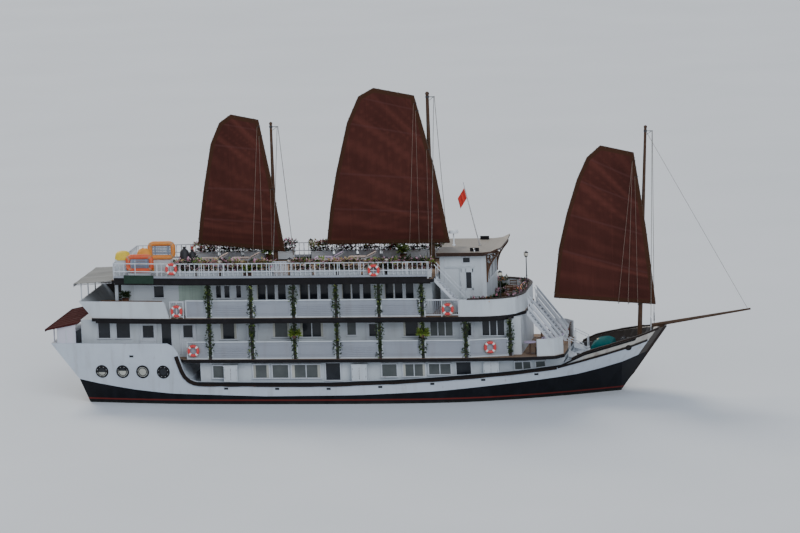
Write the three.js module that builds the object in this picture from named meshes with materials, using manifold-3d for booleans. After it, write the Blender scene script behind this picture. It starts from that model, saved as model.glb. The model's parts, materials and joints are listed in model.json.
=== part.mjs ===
// A three-masted cruise junk afloat: steel hull, three white decks with galleries, raised wheelhouse and
// three balanced lug sails on pipe frames that swing about their masts, with twin rudders and propellers.
// The sizes are the real ship's, in millimetres, and MODEL_SCALE makes the half-size model.
// +X is forward, +Y is port, +Z is up; the origin is on the waterline amidships, on the centreline.
import * as THREE from 'three';
import { mergeVertices } from 'three/addons/utils/BufferGeometryUtils.js';
import Module from 'manifold-3d';

const wasm = await Module();
wasm.setup();

const MODEL_SCALE = 0.5;
const SEAT = 0.6;

// Hull profile at the waterline and its depth
const AFT_WATERLINE = -16300;
const FORE_WATERLINE = 16400;
const DRAUGHT = 1900;
const KEEL_HALF = 120;
const FLARE_HEIGHT = 2800;
const BULWARK_THICKNESS = 120;

// Deck levels (top faces) and slab thickness
const DECK_2 = 2800;
const DECK_3 = 5350;
const SUN_DECK = 7700;
const SLAB = 200;
const EDGE_OVERHANG = 40;

// Superstructure
const HOUSE_1 = { aft: -9150, fore: 12400, setback: 450 };
const HOUSE_2 = { aft: -16700, fore: 10700, half: 3100, aftHalf: 2950 };
const HOUSE_3 = { aft: -13300, fore: 5300, half: 3000, aftHalf: 2900 };
const DECK_2_ENDS = { aft: -17400, fore: 13300, step: -10100 };
const DECK_3_ENDS = { aft: -15850, fore: 10900, shoulder: 8100, half: 4250, aftHalf: 3650 };
const SUN_DECK_ENDS = { aft: -14500, fore: 5550, half: 4200, aftHalf: 3600 };
const BULWARK_HEIGHT = 1050;
const WALL = 80;
const EDGE_INSET = 60;

// Galleries: pillars at even bays with balcony panels between them
const PILLAR_FIRST = -8400;
const PILLAR_SPACING = 2640;
const PILLAR_SIZE = 160;
const PANEL_THICKNESS = 60;
const PANEL_HEIGHT = 1100;
const GALLERY_INSET = 90;
const GALLERY_2_BAYS = 7;
const GALLERY_3_BAYS = 5;

// Wheelhouse
const CABIN = { aft: 5750, fore: 8600, half: 2500, wall: 100, floor: 6050, ceiling: 8950, roof: 120 };
const DOOR = { aft: 7000, fore: 7800, foot: 6090, head: 8090, thickness: 50, lap: 40 };

// Masts and sails
const MAST_SIDES = 20;
const SAIL_PLANE = -300;
const FRAME_RADIUS = 50;
const BATTEN_RADIUS = 35;
const CLOTH_THICKNESS = 30;
const COLLAR = { wall: 45, height: 160 };

// Running gear
const RUDDER = {
  stock: -15500, half: 1500, head: -700, foot: -1750, chord: 1150, balance: 280, thickness: 130,
};
const TRUNK = { radius: 95, foot: -650, head: -400 };
const PROPELLER = { x: -14350, z: -1400, radius: 430, hub: 95, blades: 4, shaft: 55 };
const BOSSING = { aft: -11700, fore: -10000, radius: 115 };
const BRACKET = { x: -13900, length: 220, wall: 45 };

// Deck gear
const STERN_CANOPY = {
  aft: -18800, fore: HOUSE_2.aft - SEAT, half: 3800, aftZ: 4600, foreZ: 5030, thickness: 70,
};
const STERN_SCREEN = { aft: -18100, fore: -16900, thickness: 40 };
const AWNING = { aft: -17000, half: 3200, z: SUN_DECK - 140, fall: 180, thickness: 60 };
const FLAGPOLE = { foot: 7900, top: 7000, head: 13000, radius: 28 };
const RAFT = { length: 1750, height: 1150, tube: 150, floor: 60 };
const RAFT_LOCKER = { aft: -12700, fore: -10700, inner: -1100, outer: -2200, height: 950 };
const RAFT_STEP = { aft: -13450, fore: -12050, inner: -2100, outer: -3550, height: 400 };
const FORE_LOCKER = { aft: 14800, fore: 16000, outer: -1300, inner: 500, aftTop: 2950, foreTop: 3120 };
const WINDLASS = { aft: 16350, fore: 16800, half: 330, drum: 110, flange: 165, axle: 3120 };

const FINISH = {
  black: { color: 0x16171a, roughness: 0.5, metalness: 0.1 },
  white: { color: 0xd9dde2, roughness: 0.45, metalness: 0.1 },
  deck: { color: 0x2a2624, roughness: 0.6, metalness: 0.1 },
  timber: { color: 0x4a2f20, roughness: 0.6, metalness: 0 },
  cloth: { color: 0x4f1d1c, roughness: 0.9, metalness: 0 },
  steel: { color: 0x8b8f94, roughness: 0.4, metalness: 0.8 },
  bronze: { color: 0xa07a3c, roughness: 0.35, metalness: 0.9 },
  orange: { color: 0xd9622b, roughness: 0.6, metalness: 0 },
  teal: { color: 0x1f8f8b, roughness: 0.85, metalness: 0 },
  awning: { color: 0x8f8f88, roughness: 0.85, metalness: 0 },
  canopy: { color: 0x6a2723, roughness: 0.85, metalness: 0 },
};

const ship = new THREE.Group();
ship.scale.setScalar(MODEL_SCALE);

function signedVolume(geometry) {
  const position = geometry.attributes.position;
  const index = geometry.index;
  const [a, b, c] = [new THREE.Vector3(), new THREE.Vector3(), new THREE.Vector3()];
  let total = 0;
  for (let i = 0; i < index.count; i += 3) {
    a.fromBufferAttribute(position, index.getX(i));
    b.fromBufferAttribute(position, index.getX(i + 1));
    c.fromBufferAttribute(position, index.getX(i + 2));
    total += a.dot(b.cross(c));
  }
  return total;
}

// A closed mesh from points and triangles, with its faces turned outward.
function closed(points, triangles) {
  const geometry = new THREE.BufferGeometry();
  const numbers = points.flatMap((p) => [p.x, p.y, p.z]);
  geometry.setAttribute('position', new THREE.Float32BufferAttribute(numbers, 3));
  geometry.setIndex(triangles.flat());
  if (signedVolume(geometry) < 0) {
    geometry.setIndex(triangles.map(([a, b, c]) => [a, c, b]).flat());
  }
  return geometry;
}

function toSolid(geometry) {
  const bare = geometry.clone();
  bare.deleteAttribute('normal');
  bare.deleteAttribute('uv');
  const merged = mergeVertices(bare, 0.01);
  return new wasm.Manifold(new wasm.Mesh({
    numProp: 3,
    vertProperties: Float32Array.from(merged.attributes.position.array),
    triVerts: Uint32Array.from(merged.index.array),
  }));
}

function toGeometry(solid) {
  const mesh = solid.getMesh();
  const geometry = new THREE.BufferGeometry();
  geometry.setAttribute('position', new THREE.BufferAttribute(Float32Array.from(mesh.vertProperties), 3));
  geometry.setIndex(new THREE.BufferAttribute(Uint32Array.from(mesh.triVerts), 1));
  return geometry;
}

function join(...geometries) {
  return toGeometry(geometries.map(toSolid).reduce((sum, next) => sum.add(next)));
}

function cut(body, ...tools) {
  return toGeometry(tools.map(toSolid).reduce((rest, tool) => rest.subtract(tool), toSolid(body)));
}

function mirrored(geometry) {
  const flipped = geometry.clone();
  flipped.scale(1, -1, 1);
  const order = Array.from(flipped.index.array);
  const turned = [];
  for (let i = 0; i < order.length; i += 3) {
    turned.push(order[i], order[i + 2], order[i + 1]);
  }
  flipped.setIndex(turned);
  return flipped;
}

function add(name, geometry, finish) {
  const mesh = new THREE.Mesh(geometry, new THREE.MeshStandardMaterial(FINISH[finish]));
  mesh.name = name;
  ship.add(mesh);
}

// Adds a starboard piece and its mirror image to port.
function addPair(name, geometry, finish) {
  add(`${name}_starboard`, geometry, finish);
  add(`${name}_port`, mirrored(geometry), finish);
}

function box(x0, x1, y0, y1, z0, z1) {
  const geometry = new THREE.BoxGeometry(x1 - x0, y1 - y0, z1 - z0);
  return geometry.translate((x0 + x1) / 2, (y0 + y1) / 2, (z0 + z1) / 2);
}

// A round bar between two points; its ends run on by `past`.
function bar(from, to, radius, sides = 8, past = 0, endRadius = radius) {
  const a = new THREE.Vector3(...from);
  const b = new THREE.Vector3(...to);
  const direction = b.clone().sub(a).normalize();
  a.addScaledVector(direction, -past);
  b.addScaledVector(direction, past);
  const geometry = new THREE.CylinderGeometry(endRadius, radius, a.distanceTo(b), sides);
  const turn = new THREE.Quaternion().setFromUnitVectors(new THREE.Vector3(0, 1, 0), direction);
  geometry.applyQuaternion(turn);
  const middle = a.add(b).multiplyScalar(0.5);
  return geometry.translate(middle.x, middle.y, middle.z);
}

// A flat plate lying in plan, from an outline of [x, y] points.
function slab(outline, z0, z1) {
  const shape = new THREE.Shape(outline.map(([x, y]) => new THREE.Vector2(x, y)));
  const geometry = new THREE.ExtrudeGeometry(shape, { depth: z1 - z0, bevelEnabled: false });
  return geometry.translate(0, 0, z0);
}

// A flat plate standing fore and aft, from an outline of [x, z] points.
function wall(outline, y0, y1) {
  const shape = new THREE.Shape(outline.map(([x, z]) => new THREE.Vector2(x, z)));
  const geometry = new THREE.ExtrudeGeometry(shape, { depth: y1 - y0, bevelEnabled: false });
  return geometry.rotateX(Math.PI / 2).translate(0, y1, 0);
}

// Straight-line reading of a table of [x, value] rows.
function straight(table, x) {
  if (x <= table[0][0]) return table[0][1];
  for (let i = 1; i < table.length; i += 1) {
    const [x0, v0] = table[i - 1];
    const [x1, v1] = table[i];
    if (x <= x1) return v0 + ((v1 - v0) * (x - x0)) / (x1 - x0);
  }
  return table[table.length - 1][1];
}

// Smooth reading of one column of a table whose first column is x.
function smooth(table, column, x) {
  const last = table.length - 1;
  if (x <= table[0][0]) return table[0][column];
  if (x >= table[last][0]) return table[last][column];
  const i = table.findIndex((row) => row[0] >= x);
  const slope = (k) => {
    const lower = table[Math.max(k - 1, 0)];
    const upper = table[Math.min(k + 1, last)];
    return (upper[column] - lower[column]) / (upper[0] - lower[0]);
  };
  const [p, q] = [table[i - 1], table[i]];
  const span = q[0] - p[0];
  const t = (x - p[0]) / span;
  const [m0, m1] = [slope(i - 1) * span, slope(i) * span];
  return (2 * t ** 3 - 3 * t ** 2 + 1) * p[column] + (t ** 3 - 2 * t ** 2 + t) * m0
    + (3 * t ** 2 - 2 * t ** 3) * q[column] + (t ** 3 - t ** 2) * m1;
}

// Hull form. Columns: x at the waterline, keel height, half-breadth at the waterline, half-breadth at
// deck 2, fullness of the underwater section.
const HULL_FORM = [
  [-16300, -500, 3050, 3500, 2.2],
  [-14000, -850, 3450, 3800, 2.4],
  [-11000, -1450, 3850, 4050, 2.8],
  [-8000, -1850, 4050, 4200, 3.0],
  [-3000, -DRAUGHT, 4200, 4300, 3.0],
  [3000, -DRAUGHT, 4180, 4300, 3.0],
  [7000, -DRAUGHT, 3850, 4250, 2.6],
  [10000, -DRAUGHT, 3050, 4050, 2.2],
  [12500, -DRAUGHT, 2050, 3450, 1.8],
  [14500, -DRAUGHT, 1100, 2450, 1.5],
  [15700, -DRAUGHT, 480, 1350, 1.4],
  [16400, -DRAUGHT, 110, 160, 1.4],
];
// Rake of the transom and of the stem: height, how far aft or forward of the waterline end.
const TRANSOM_RAKE = [[-500, 250], [0, 0], [1500, -550], [3800, -2200]];
const STEM_RAKE = [[-1900, -3900], [-1300, -1900], [0, 0], [4000, 2900]];
const TRANSOM_REACH = 4000;
const STEM_REACH = 8000;
// Top of the black bottom paint: x, height.
const PAINT_LINE = [
  [-16850, 1500], [-15400, 1200], [-13100, 850], [-11000, 660], [-5000, 500], [700, 550],
  [5700, 750], [10400, 1130], [13800, 1430], [16300, 1910], [18300, 2520], [19000, 2900],
];
// Top edge of the white topsides: x, height.
const TOP_EDGE = [
  [-11100, 3800], [-10700, 3600], [-10450, 3200], [-10300, 2750], [-10100, 2050], [-9800, 1600],
  [-9300, 1420], [-6300, 1400], [-1000, 1380], [3400, 1520], [5900, 1670], [10200, 1920],
  [13300, 2220], [13900, 2700], [15400, 3100], [17500, 3560], [19300, 4000],
];
// Side deck inside the bulwark and the foredeck: x, height.
const SIDE_DECK = [[-9300, 1230], [3400, 1320], [10200, 1750], [13300, 2050]];
const FOREDECK = [[13300, 2150], [15400, 2400], [16900, 2750], [19300, 2750]];
const UNDERWATER_ROWS = [0, 0.04, 0.12, 0.26, 0.45, 0.7, 1];

function hullHalf(x, z) {
  const keel = smooth(HULL_FORM, 1, x);
  const water = smooth(HULL_FORM, 2, x);
  const deck = smooth(HULL_FORM, 3, x);
  if (z < 0) {
    const height = Math.max(0, 1 - z / keel);
    const full = smooth(HULL_FORM, 4, x);
    return Math.max(KEEL_HALF * Math.min(1, water / 400), water * Math.sqrt(1 - (1 - height) ** full));
  }
  return water + (deck - water) * (z / FLARE_HEIGHT) ** 0.8;
}

// The place along the ship of a hull station at a height, with the raked ends.
function stationX(x, z) {
  const aftShare = Math.max(0, 1 - (x - AFT_WATERLINE) / TRANSOM_REACH);
  const foreShare = Math.max(0, 1 - (FORE_WATERLINE - x) / STEM_REACH);
  return x + aftShare * straight(TRANSOM_RAKE, z) + foreShare * straight(STEM_RAKE, z);
}

// The height of a line such as the paint line where it crosses a raked station.
function lineAt(line, x) {
  let z = line(x);
  for (let turn = 0; turn < 6; turn += 1) {
    z = line(stationX(x, z));
  }
  return z;
}

// The hull station that stands at a place along the ship at a height.
function stationOf(place, z) {
  let x = place;
  for (let turn = 0; turn < 12; turn += 1) {
    x = place - (stationX(x, z) - x);
  }
  return x;
}

function hullPoint(x, z, inset, side) {
  const half = Math.max(hullHalf(x, z) - inset, 30);
  return new THREE.Vector3(stationX(x, z), side * half, z);
}

// Closed solid through rings of points, one ring at each station, with flat ends.
function loft(rings) {
  const count = rings[0].length;
  const triangles = [];
  for (let s = 0; s < rings.length - 1; s += 1) {
    for (let i = 0; i < count; i += 1) {
      const next = (i + 1) % count;
      const [a, b] = [s * count + i, s * count + next];
      triangles.push([a, b, b + count], [a, b + count, a + count]);
    }
  }
  for (const offset of [0, (rings.length - 1) * count]) {
    const flat = rings[offset / count].map((p) => new THREE.Vector2(p.y, p.z));
    for (const [a, b, c] of THREE.ShapeUtils.triangulateShape(flat, [])) {
      triangles.push([a + offset, b + offset, c + offset]);
    }
  }
  return orient(rings.flat(), triangles, count);
}

// Turns the end faces so that they agree with the sides.
function orient(points, triangles, count) {
  const seen = new Map();
  const sides = triangles.filter((t) => Math.max(...t) - Math.min(...t) >= count || crosses(t, count));
  const ends = triangles.filter((t) => !sides.includes(t));
  for (const [a, b, c] of sides) {
    for (const [p, q] of [[a, b], [b, c], [c, a]]) {
      seen.set(`${p},${q}`, true);
    }
  }
  const firstEnd = ends.filter((t) => Math.max(...t) < count);
  const lastEnd = ends.filter((t) => Math.max(...t) >= count);
  const agreed = [firstEnd, lastEnd].flatMap((group) => {
    const clash = group.some(([a, b, c]) => [[a, b], [b, c], [c, a]].some(([p, q]) => seen.has(`${p},${q}`)));
    return clash ? group.map(([a, b, c]) => [a, c, b]) : group;
  });
  return closed(points, [...sides, ...agreed]);
}

function crosses(triangle, count) {
  const rings = new Set(triangle.map((i) => Math.floor(i / count)));
  return rings.size > 1;
}

function stations(from, to, count, extra = []) {
  const even = Array.from({ length: count }, (_, i) => from + ((to - from) * i) / (count - 1));
  return [...new Set([...even, ...extra.filter((x) => x > from && x < to)])].sort((a, b) => a - b);
}

// The hull's cross-section at a station, through the given heights on both sides.
function hullRing(x, heights, inset) {
  const port = heights.map((z) => hullPoint(x, z, inset, 1));
  const starboard = heights.map((z) => hullPoint(x, z, inset, -1)).reverse();
  return [...port, ...starboard];
}

// A block of the hull between two heights that change along the ship.
function hullBlock(xs, lowLine, highLine, inset) {
  return loft(xs.map((x) => hullRing(x, [lineAt(lowLine, x), lineAt(highLine, x)], inset)));
}

// Stations that the bottom and the topsides share, closer together where the top edge drops.
function hullStations() {
  return stations(AFT_WATERLINE, FORE_WATERLINE, 33, TOP_EDGE.slice(0, 8).map(([x]) => x));
}

function bottomShell() {
  return loft(hullStations().map((x) => {
    const keel = smooth(HULL_FORM, 1, x);
    const paint = lineAt((at) => straight(PAINT_LINE, at), x);
    return hullRing(x, [...UNDERWATER_ROWS.map((row) => keel * (1 - row)), paint], 0);
  }));
}

// The bottom with its bar keel, shaft bossings, shaft brackets and rudder trunks.
function hullBottom() {
  const { x: bracketX, length, wall: ring } = BRACKET;
  const keel = box(-8600, 11800, -90, 90, -DRAUGHT - 200, -DRAUGHT + 150);
  const parts = [bottomShell(), keel];
  for (const side of [-1, 1]) {
    const y = side * RUDDER.half;
    const z = PROPELLER.z;
    const bore = PROPELLER.shaft / Math.cos(Math.PI / 12) + SEAT;
    const strut = box(bracketX - 70, bracketX + 70, y - 22, y + 22, z + bore, -450);
    const bush = bar([bracketX - length / 2, y, z], [bracketX + length / 2, y, z], bore + ring, 12);
    const hole = bar([bracketX - length, y, z], [bracketX + length, y, z], bore, 12);
    parts.push(bar([BOSSING.aft, y, z], [BOSSING.fore, y, z], BOSSING.radius, 12));
    parts.push(bar([RUDDER.stock, y, TRUNK.foot], [RUDDER.stock, y, TRUNK.head], TRUNK.radius, 14));
    parts.push(cut(join(strut, bush), hole));
  }
  return join(...parts);
}

const TOPSIDE_ROWS = [0, 0.35, 0.7, 1];
const FOREDECK_STATIONS = stations(12620, 16150, 11);

function topsideHeights(x) {
  const low = lineAt((at) => straight(PAINT_LINE, at) + SEAT, x);
  const high = lineAt((at) => straight(TOP_EDGE, at), x);
  return TOPSIDE_ROWS.map((row) => low + (high - low) * row);
}

function hullTopsides() {
  const body = loft(hullStations().map((x) => hullRing(x, topsideHeights(x), 0)));
  const above = () => 5200;
  const sternWell = hullBlock(stations(-16180, -10150, 9), () => DECK_2 - SLAB, above, BULWARK_THICKNESS);
  const sideStations = [-9700, ...stations(HOUSE_1.aft, HOUSE_1.fore, 12), HOUSE_1.fore + 100];
  const sideWell = hullBlock(sideStations, (x) => straight(SIDE_DECK, x), above, BULWARK_THICKNESS);
  const foreWell = hullBlock(FOREDECK_STATIONS, (x) => straight(FOREDECK, x), above, BULWARK_THICKNESS);
  return cut(body, sternWell, sideWell, foreWell);
}

// A rubbing strake along one side, following the top edge of the topsides.
function rubRail(side) {
  const [depth, height, drop] = [90, 130, 150];
  const line = (x) => straight(TOP_EDGE, x) - drop;
  const strake = loft(hullStations().filter((x) => x > -9400 && x < 16200).map((x) => {
    const z = lineAt(line, x);
    const place = (dz, out) => {
      const half = hullHalf(x, z + dz) + out;
      return new THREE.Vector3(stationX(x, z + dz), side * half, z + dz);
    };
    return [place(0, -40), place(0, depth), place(height, depth), place(height, -40)];
  }));
  const skin = loft(hullStations().map((x) => {
    const heights = topsideHeights(x);
    return hullRing(x, [heights[0] - 300, ...heights, 5200], -SEAT);
  }));
  return cut(strake, skin);
}

function houseOne() {
  const floor = (x) => straight(SIDE_DECK, x) + SEAT;
  const xs = stations(HOUSE_1.aft, HOUSE_1.fore, 12);
  return hullBlock(xs, floor, () => DECK_2 - SLAB - SEAT, HOUSE_1.setback);
}

// Outline of a deck or house: half-breadth from a table of [x, half], symmetric about the centreline.
function planOutline(rows) {
  const starboard = rows.map(([x, half]) => [x, -half]);
  const port = rows.map(([x, half]) => [x, half]).reverse();
  return [...starboard, ...port];
}

function deckTwoOutline() {
  const aft = stations(DECK_2_ENDS.aft, DECK_2_ENDS.step - 100, 6)
    .map((x) => [x, hullHalf(stationOf(x, DECK_2), DECK_2 - SLAB) - BULWARK_THICKNESS - 22]);
  const main = stations(DECK_2_ENDS.step, DECK_2_ENDS.fore - 500, 12)
    .map((x) => [x, deckTwoHalf(x)]);
  const front = [[DECK_2_ENDS.fore, deckTwoHalf(DECK_2_ENDS.fore) - 600]];
  return planOutline([...aft, ...main, ...front]);
}

function deckTwoHalf(x) {
  return hullHalf(stationOf(x, DECK_2), DECK_2) + EDGE_OVERHANG;
}

// Half-breadth of an upper deck that narrows aft and has a rounded front.
function upperHalf(ends, x) {
  const narrowing = Math.min(1, Math.max(0, (x - ends.aft) / 8000));
  const half = ends.aftHalf + (ends.half - ends.aftHalf) * Math.sin((narrowing * Math.PI) / 2);
  const shoulder = ends.shoulder ?? ends.fore;
  if (x <= shoulder) return half;
  const turn = (x - shoulder) / (ends.fore - shoulder);
  return half * (0.5 + 0.5 * Math.sqrt(Math.max(0, 1 - turn ** 2)));
}

function upperOutline(ends, count, inset = 0) {
  const rows = stations(ends.aft, ends.fore, count).map((x) => [x, upperHalf(ends, x) - inset]);
  return planOutline(rows);
}

function houseOutline(house) {
  return planOutline([[house.aft, house.aftHalf], [house.aft + 5000, house.half], [house.fore, house.half]]);
}

// Pillars, balcony panels and hand rail of one deck on one side, as one welded run.
function gallery(floor, ceiling, bays, half) {
  const pillars = Array.from({ length: bays + 1 }, (_, i) => PILLAR_FIRST + i * PILLAR_SPACING);
  const [low, high] = [floor + SEAT, ceiling - SEAT];
  const pieces = pillars.map((x) => {
    const y = -(half(x) - GALLERY_INSET);
    return box(x - PILLAR_SIZE / 2, x + PILLAR_SIZE / 2, y, y + PILLAR_SIZE, low, high);
  });
  const panelEnds = [pillars[0] - 1500, ...pillars, pillars[bays] + 150];
  for (let i = 0; i < panelEnds.length - 1; i += 1) {
    const [x0, x1] = [panelEnds[i], panelEnds[i + 1]];
    const [y0, y1] = [-(half(x0) - GALLERY_INSET - 40), -(half(x1) - GALLERY_INSET - 40)];
    const plan = [[x0, y0], [x1, y1], [x1, y1 + PANEL_THICKNESS], [x0, y0 + PANEL_THICKNESS]];
    pieces.push(slab(plan, low, floor + PANEL_HEIGHT));
  }
  return join(...pieces);
}

// A thin wall that follows a deck's edge, open inboard. Its thickness is measured towards a point on the
// centreline, and `lean` moves its top edge along the ship.
function edgeWall(outer, centre, thickness, z0, z1, lean = () => 0) {
  return wallLoft(outer.map(([x, y]) => {
    const reach = Math.hypot(x - centre, y);
    const share = (reach - thickness) / reach;
    const [u, v] = [centre + (x - centre) * share, y * share];
    const shift = lean(x);
    const ring = [[x, y, z0], [x + shift, y, z1], [u + shift, v, z1], [u, v, z0]];
    return ring.map((corner) => new THREE.Vector3(...corner));
  }));
}

// Closed solid through four-cornered rings placed one after another around a deck's edge.
function wallLoft(rings) {
  const triangles = [];
  const last = rings.length - 1;
  for (let s = 0; s < last; s += 1) {
    for (let i = 0; i < 4; i += 1) {
      const [a, b] = [s * 4 + i, s * 4 + ((i + 1) % 4)];
      triangles.push([a, b, b + 4], [a, b + 4, a + 4]);
    }
  }
  triangles.push([0, 2, 1], [0, 3, 2]);
  const end = last * 4;
  triangles.push([end, end + 1, end + 2], [end, end + 2, end + 3]);
  return closed(rings.flat(), triangles);
}

function terraceBulwark() {
  const aft = 7100;
  const starboard = stations(aft, DECK_3_ENDS.fore, 9)
    .map((x) => [x, -(upperHalf(DECK_3_ENDS, x) - EDGE_INSET)]);
  starboard[8][0] -= EDGE_INSET;
  const port = starboard.map(([x, y]) => [x, -y]).reverse();
  return edgeWall([...starboard, ...port], 5000, WALL, DECK_3 + SEAT, DECK_3 + BULWARK_HEIGHT);
}

// The stern bulwark of deck 3, whose end leans out over the stern and carries the awning's posts.
function sternBulwark() {
  const [knuckle, fore, overhang, slant, post] = [-12500, -10900, -850, -300, 60];
  const aft = DECK_3_ENDS.aft + EDGE_INSET;
  const lean = (x) => straight([[aft, overhang], [knuckle, 0], [fore, slant]], x);
  const starboard = [fore, -11700, knuckle, -13600, -14700, aft]
    .map((x) => [x, -(upperHalf(DECK_3_ENDS, x) - EDGE_INSET)]);
  const port = starboard.map(([x, y]) => [x, -y]).reverse();
  const top = DECK_3 + BULWARK_HEIGHT;
  const wallAll = edgeWall([...starboard, ...port], -9000, WALL, DECK_3 + SEAT, top, lean);
  const x = aft + overhang + WALL / 2;
  const posts = [-2900, -1000, 1000, 2900].map((y) => box(
    x - post / 2, x + post / 2, y - post / 2, y + post / 2, top - 25, awningUnder(x - post / 2) - SEAT));
  return join(wallAll, ...posts);
}

function loungeBulwark() {
  const rows = [11750, 12500, DECK_2_ENDS.fore - 560];
  const starboard = rows.map((x) => [x, -(deckTwoHalf(x) - 110)]);
  starboard.push([DECK_2_ENDS.fore - 70, -(deckTwoHalf(DECK_2_ENDS.fore) - 700)]);
  return edgeWall(starboard, 9000, WALL, DECK_2 + SEAT, DECK_2 + BULWARK_HEIGHT);
}

// Square posts with a top and a middle rail around the sun deck.
function sunDeckRail() {
  const [height, inset, width, post] = [1050, 90, 50, 45];
  const ends = SUN_DECK_ENDS;
  const edge = stations(ends.aft + inset, ends.fore - 250, 15).map((x) => [x, -(upperHalf(ends, x) - inset)]);
  const inner = edge.map(([x, y]) => [x, y + width]);
  inner[0][0] += width;
  const loop = (points) => [...points.slice().reverse(), ...points.map(([x, y]) => [x, -y])];
  const outline = [...loop(edge), ...loop(inner).reverse()];
  const pieces = [0.48, 0.95].map((share) => {
    const z = SUN_DECK + height * share;
    return slab(outline, z, z + height * 0.05);
  });
  for (const [x, y] of loop(edge)) {
    const side = Math.sign(y);
    const [y0, y1] = [y - side * 2, y - side * post].sort((p, q) => p - q);
    const x0 = Math.min(x + 2, ends.fore - 250 - post);
    pieces.push(box(x0, x0 + post - 2, y0, y1, SUN_DECK + SEAT, SUN_DECK + height - 10));
  }
  for (const y of [-1750, 0, 1750]) {
    const x = ends.aft + inset;
    pieces.push(box(x + 2, x + post, y - post / 2, y + post / 2, SUN_DECK + SEAT, SUN_DECK + height - 10));
  }
  return join(...pieces);
}

// A flight of steps with stringers and side rails, falling forward on the starboard side.
function flight(top, foot, y0, y1) {
  const steps = Math.round((top.z - foot.z) / 210);
  const [tread, thickness, stringer] = [240, 45, 50];
  const pieces = [];
  const rise = (top.z - foot.z) / steps;
  const run = (foot.x - top.x) / steps;
  for (let i = 1; i < steps; i += 1) {
    const [x, z] = [top.x + run * i, top.z - rise * i];
    pieces.push(box(x - tread / 2, x + tread / 2, y0 + stringer - 5, y1 - stringer + 5, z - thickness, z));
  }
  for (const y of [y0, y1 - stringer]) {
    const [low, drop] = [foot.z + SEAT, 260];
    const outline = [[top.x, top.z - drop], [foot.x - 200, low], [foot.x, low], [top.x, top.z]];
    pieces.push(wall(outline, y, y + stringer));
    const mid = y + stringer / 2;
    const rail = 850;
    for (const share of [0.05, 0.95]) {
      const [x, z] = [top.x + (foot.x - top.x) * share, top.z - (top.z - foot.z) * share];
      const base = Math.max(z - 120, foot.z + SEAT);
      pieces.push(box(x - 20, x + 20, mid - 18, mid + 18, base, z + rail - 20));
    }
    pieces.push(bar([top.x, mid, top.z + rail - 20], [foot.x, mid, foot.z + rail - 20], 28, 4));
  }
  return join(...pieces);
}

// Wheelhouse panels, each a flat wall with its openings cut through.
function cabinSide() {
  const { aft, fore, half, floor, ceiling, wall: thick } = CABIN;
  const panel = box(aft, fore, -half, -half + thick, floor + SEAT, ceiling);
  const doorway = box(DOOR.aft, DOOR.fore, -half - 50, -half + thick + 50, floor + 60, DOOR.head - 40);
  const light = box(7180, 7620, -half - 50, -half + thick + 50, 8400, 8720);
  const track = box(DOOR.aft - 950, DOOR.fore + 100, -half - 75, -half + 10, DOOR.head + 10, DOOR.head + 70);
  return cut(join(panel, track), doorway, light);
}

function cabinEnd(x, lights, sill, head) {
  const { half, floor, ceiling, wall: thick } = CABIN;
  const inside = half - thick - SEAT;
  const panel = box(x, x + thick, -inside, inside, floor + SEAT, ceiling);
  const cuts = lights.map(([y0, y1]) => box(x - 50, x + thick + 50, y0, y1, sill, head));
  return cut(panel, ...cuts);
}

// Roof plate whose front corners rise to a point, as on a temple eave.
function cabinRoof() {
  const { aft, fore, half, ceiling, roof } = CABIN;
  const low = ceiling + SEAT;
  const [eave, rise] = [380, 260];
  const columns = [aft - 150, aft + 1000, fore - 200, fore + 350, fore + 800];
  const lift = [0, 0, 0, 60, rise];
  const widen = [0, 0, 0, 40, 120];
  return loft(columns.map((x, i) => {
    const y = half + eave + widen[i];
    const flat = half * 0.62;
    const mid = lift[i] * 0.35;
    const bottom = [[-y, lift[i]], [-flat, mid], [flat, mid], [y, lift[i]]];
    const under = bottom.map(([v, dz]) => new THREE.Vector3(x, v, low + dz));
    const over = bottom.map(([v, dz]) => new THREE.Vector3(x, v, low + dz + roof)).reverse();
    return [...under, ...over];
  }));
}

function cabinDoor() {
  const y = -CABIN.half - SEAT;
  return box(DOOR.aft - DOOR.lap, DOOR.fore + DOOR.lap, y - DOOR.thickness, y, DOOR.foot, DOOR.head);
}

// Masts and sails. Foot and head of the mast are [x, z]; outline and battens are [x, z] points of the sail.
const RIGS = [
  {
    name: 'fore',
    foot: [17580, 2750 + SEAT],
    head: [18300, 16250],
    radius: 150,
    outline: [[12470, 5850], [18650, 5400], [18180, 10000], [17540, 14700], [15550, 15150], [14730, 14450],
      [14090, 13100], [13400, 11000], [12850, 8800]],
    battens: [[8, 0.2], [7, 0.46], [6, 0.66], [5, 0.82], [4, 0.97]],
    collars: [6200, 9600],
  },
  {
    name: 'main',
    foot: [4950, SUN_DECK + SEAT],
    head: [4950, 18500],
    radius: 180,
    outline: [[-1530, 9330], [6070, 9330], [5250, 14000], [4150, 18400], [1670, 18900], [750, 18400],
      [0, 16800], [-790, 13700], [-1230, 11500]],
    battens: [[8, 0.2], [7, 0.42], [6, 0.72], [5, 0.9]],
    collars: [9900, 12600],
  },
  {
    name: 'aft',
    foot: [-4850, SUN_DECK + SEAT],
    head: [-4850, 16800],
    radius: 150,
    outline: [[-9620, 9450], [-4240, 8900], [-4900, 13200], [-5590, 17050], [-7280, 17400], [-7990, 16900],
      [-8580, 15600], [-9110, 12900], [-9420, 11000]],
    battens: [[8, 0.2], [7, 0.44], [6, 0.76], [5, 0.92]],
    collars: [9600, 11800],
  },
];
const FORE_LUFF = 3;

function mastAxisX(rig, z) {
  const [x0, z0] = rig.foot;
  const [x1, z1] = rig.head;
  return x0 + ((x1 - x0) * (z - z0)) / (z1 - z0);
}

function mastRadius(rig, z) {
  const share = (z - rig.foot[1]) / (rig.head[1] - rig.foot[1]);
  return rig.radius * (1 - 0.45 * share);
}

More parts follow.
